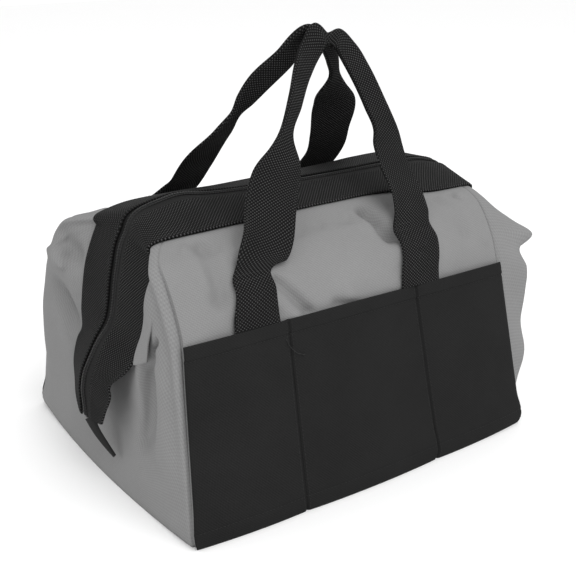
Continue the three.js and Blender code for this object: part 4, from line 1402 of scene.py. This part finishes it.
# Zip slider: body and pull are stacks of outlines, each a share of the full outline and a height
BODY_LENGTH = 10
BODY_WIDTH = 7.6
BODY_TAPER = 0.45
BODY_STACK = ((0.55, 0.0), (0.94, 0.05), (1.0, 0.4), (1.0, 1.1), (0.93, 1.5), (0.7, 1.7))
PULL_LENGTH = 19
PULL_WIDTH = 6
PULL_TAPER = -0.35
PULL_STACK = ((0.8, 0.0), (0.96, 0.12), (1.0, 0.4), (1.0, 0.8), (0.96, 1.08), (0.8, 1.2))
BRIDGE_HEIGHT = 2.6
BRIDGE_REACH = 0.3
BRIDGE_FOOT = 1
BRIDGE_BEND = 0.6
BRIDGE_WIRE = 0.65
RING_RADIUS = 2.3
RING_WIRE = 0.5
RING_BACK = 0.6
RING_RISE = 0.2
WIRE_SIDES = 10
OUTLINE_SIDES = 36
OUTLINE_BEND = 0.7
PULL_RISE = 1.2
SLIDER_SAMPLES = 2000
SLIDER_SPAN = 5


def outline_stack(length, width, taper, stack):
    """A closed plate with a rounded outline, narrower at its far end, in its own axes."""
    turn = np.arange(OUTLINE_SIDES) / OUTLINE_SIDES * TURN
    ahead = np.sign(np.cos(turn)) * np.abs(np.cos(turn)) ** OUTLINE_BEND * length / 2
    side = np.sign(np.sin(turn)) * np.abs(np.sin(turn)) ** OUTLINE_BEND * width / 2
    side = side * (1 - taper * ahead / length)
    return np.stack([points(ahead * share, side * share, height) for share, height in stack])


def bent_tube(line, radius):
    """A round wire along a curve, in the slider's own axes."""
    return tube_rings(line, points(np.zeros(len(line)), 1, 0), radius, radius, WIRE_SIDES)


def add_slider():
    """The zip's slider on the coil, where the solids have theirs."""
    low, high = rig.box("zip_slider")
    middle = (np.array(low) + np.array(high)) / 2 / MM
    line = coil_at(np.linspace(ZIP_START, ZIP_END, SLIDER_SAMPLES))
    i = np.linalg.norm(line - middle, axis=1).argmin()
    ahead = unit(line[i + SLIDER_SPAN] - line[i - SLIDER_SPAN])
    side = np.array([0.0, 1.0, 0.0])
    out = np.cross(side, ahead)
    out = out * np.sign(out @ (middle - line[i]) or 1)
    axes = np.stack([ahead, side, out])
    seat = line[i] + out * (COIL_HEIGHT / 2 + GAP)
    arch = np.linspace(0, math.pi, 20)
    rise = BRIDGE_FOOT + np.sin(arch) ** BRIDGE_BEND * BRIDGE_HEIGHT
    bridge = points(-np.cos(arch) * BODY_LENGTH * BRIDGE_REACH, 0, rise)
    turn = np.linspace(0, TURN, 40)
    reach = RING_RADIUS * (1 + np.cos(turn)) - RING_BACK
    loop = points(reach, RING_RADIUS * np.sin(turn), BRIDGE_HEIGHT + RING_RISE - np.cos(turn))
    pull = outline_stack(PULL_LENGTH, PULL_WIDTH, PULL_TAPER, PULL_STACK)
    pull = pull + np.array([PULL_LENGTH / 2 + RING_RADIUS, 0, PULL_RISE])
    body = outline_stack(BODY_LENGTH, BODY_WIDTH, BODY_TAPER, BODY_STACK)
    shells = [body, bent_tube(bridge, BRIDGE_WIRE), bent_tube(loop, RING_WIRE), pull]
    add_tubes("zip-slider", [seat + rings @ axes for rings in shells], "slider", None, ["zip_slider"])


add_slider()


# Floor and light
FLOOR_REACH = 4
WORLD_STRENGTH = 1.05


def add_floor():
    finish = Finish("floor", 0.9, 0.2)
    finish.shader.inputs["Base Color"].default_value = shade(0.92)
    corners = [(x * FLOOR_REACH, y * FLOOR_REACH, 0) for x, y in ((-1, -1), (1, -1), (1, 1), (-1, 1))]
    mesh = bpy.data.meshes.new("floor")
    mesh.from_pydata(corners, [], [(0, 1, 2, 3)])
    mesh.materials.append(finish.material)
    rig.stage(add_object("floor", mesh))


def add_light(name, place, size, power):
    data = bpy.data.lights.new(name, "AREA")
    data.shape = "DISK"
    data.size = size
    data.energy = power
    light = add_object(name, data)
    light.location = place
    towards = Vector((0, 0, 0.1)) - Vector(place)
    light.rotation_euler = towards.to_track_quat("-Z", "Y").to_euler()


add_floor()
add_light("key_light", (0.0, -1.35, 1.8), 1.8, 22)
add_light("fill_light", (-1.8, 0.0, 0.9), 1.6, 3)
world = bpy.data.worlds.new("studio")
world.use_nodes = True
background = world.node_tree.nodes["Background"].inputs
background["Color"].default_value = (1, 1, 1, 1)
background["Strength"].default_value = WORLD_STRENGTH
bpy.context.scene.world = world
bpy.context.scene.view_settings.view_transform = "Standard"

sizes = {
    "cad": [list(corner) for corner in cad_box],
    "visual": [list(corner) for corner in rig.bounds()],
}
with open("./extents.json", "w") as out:
    json.dump(sizes, out)
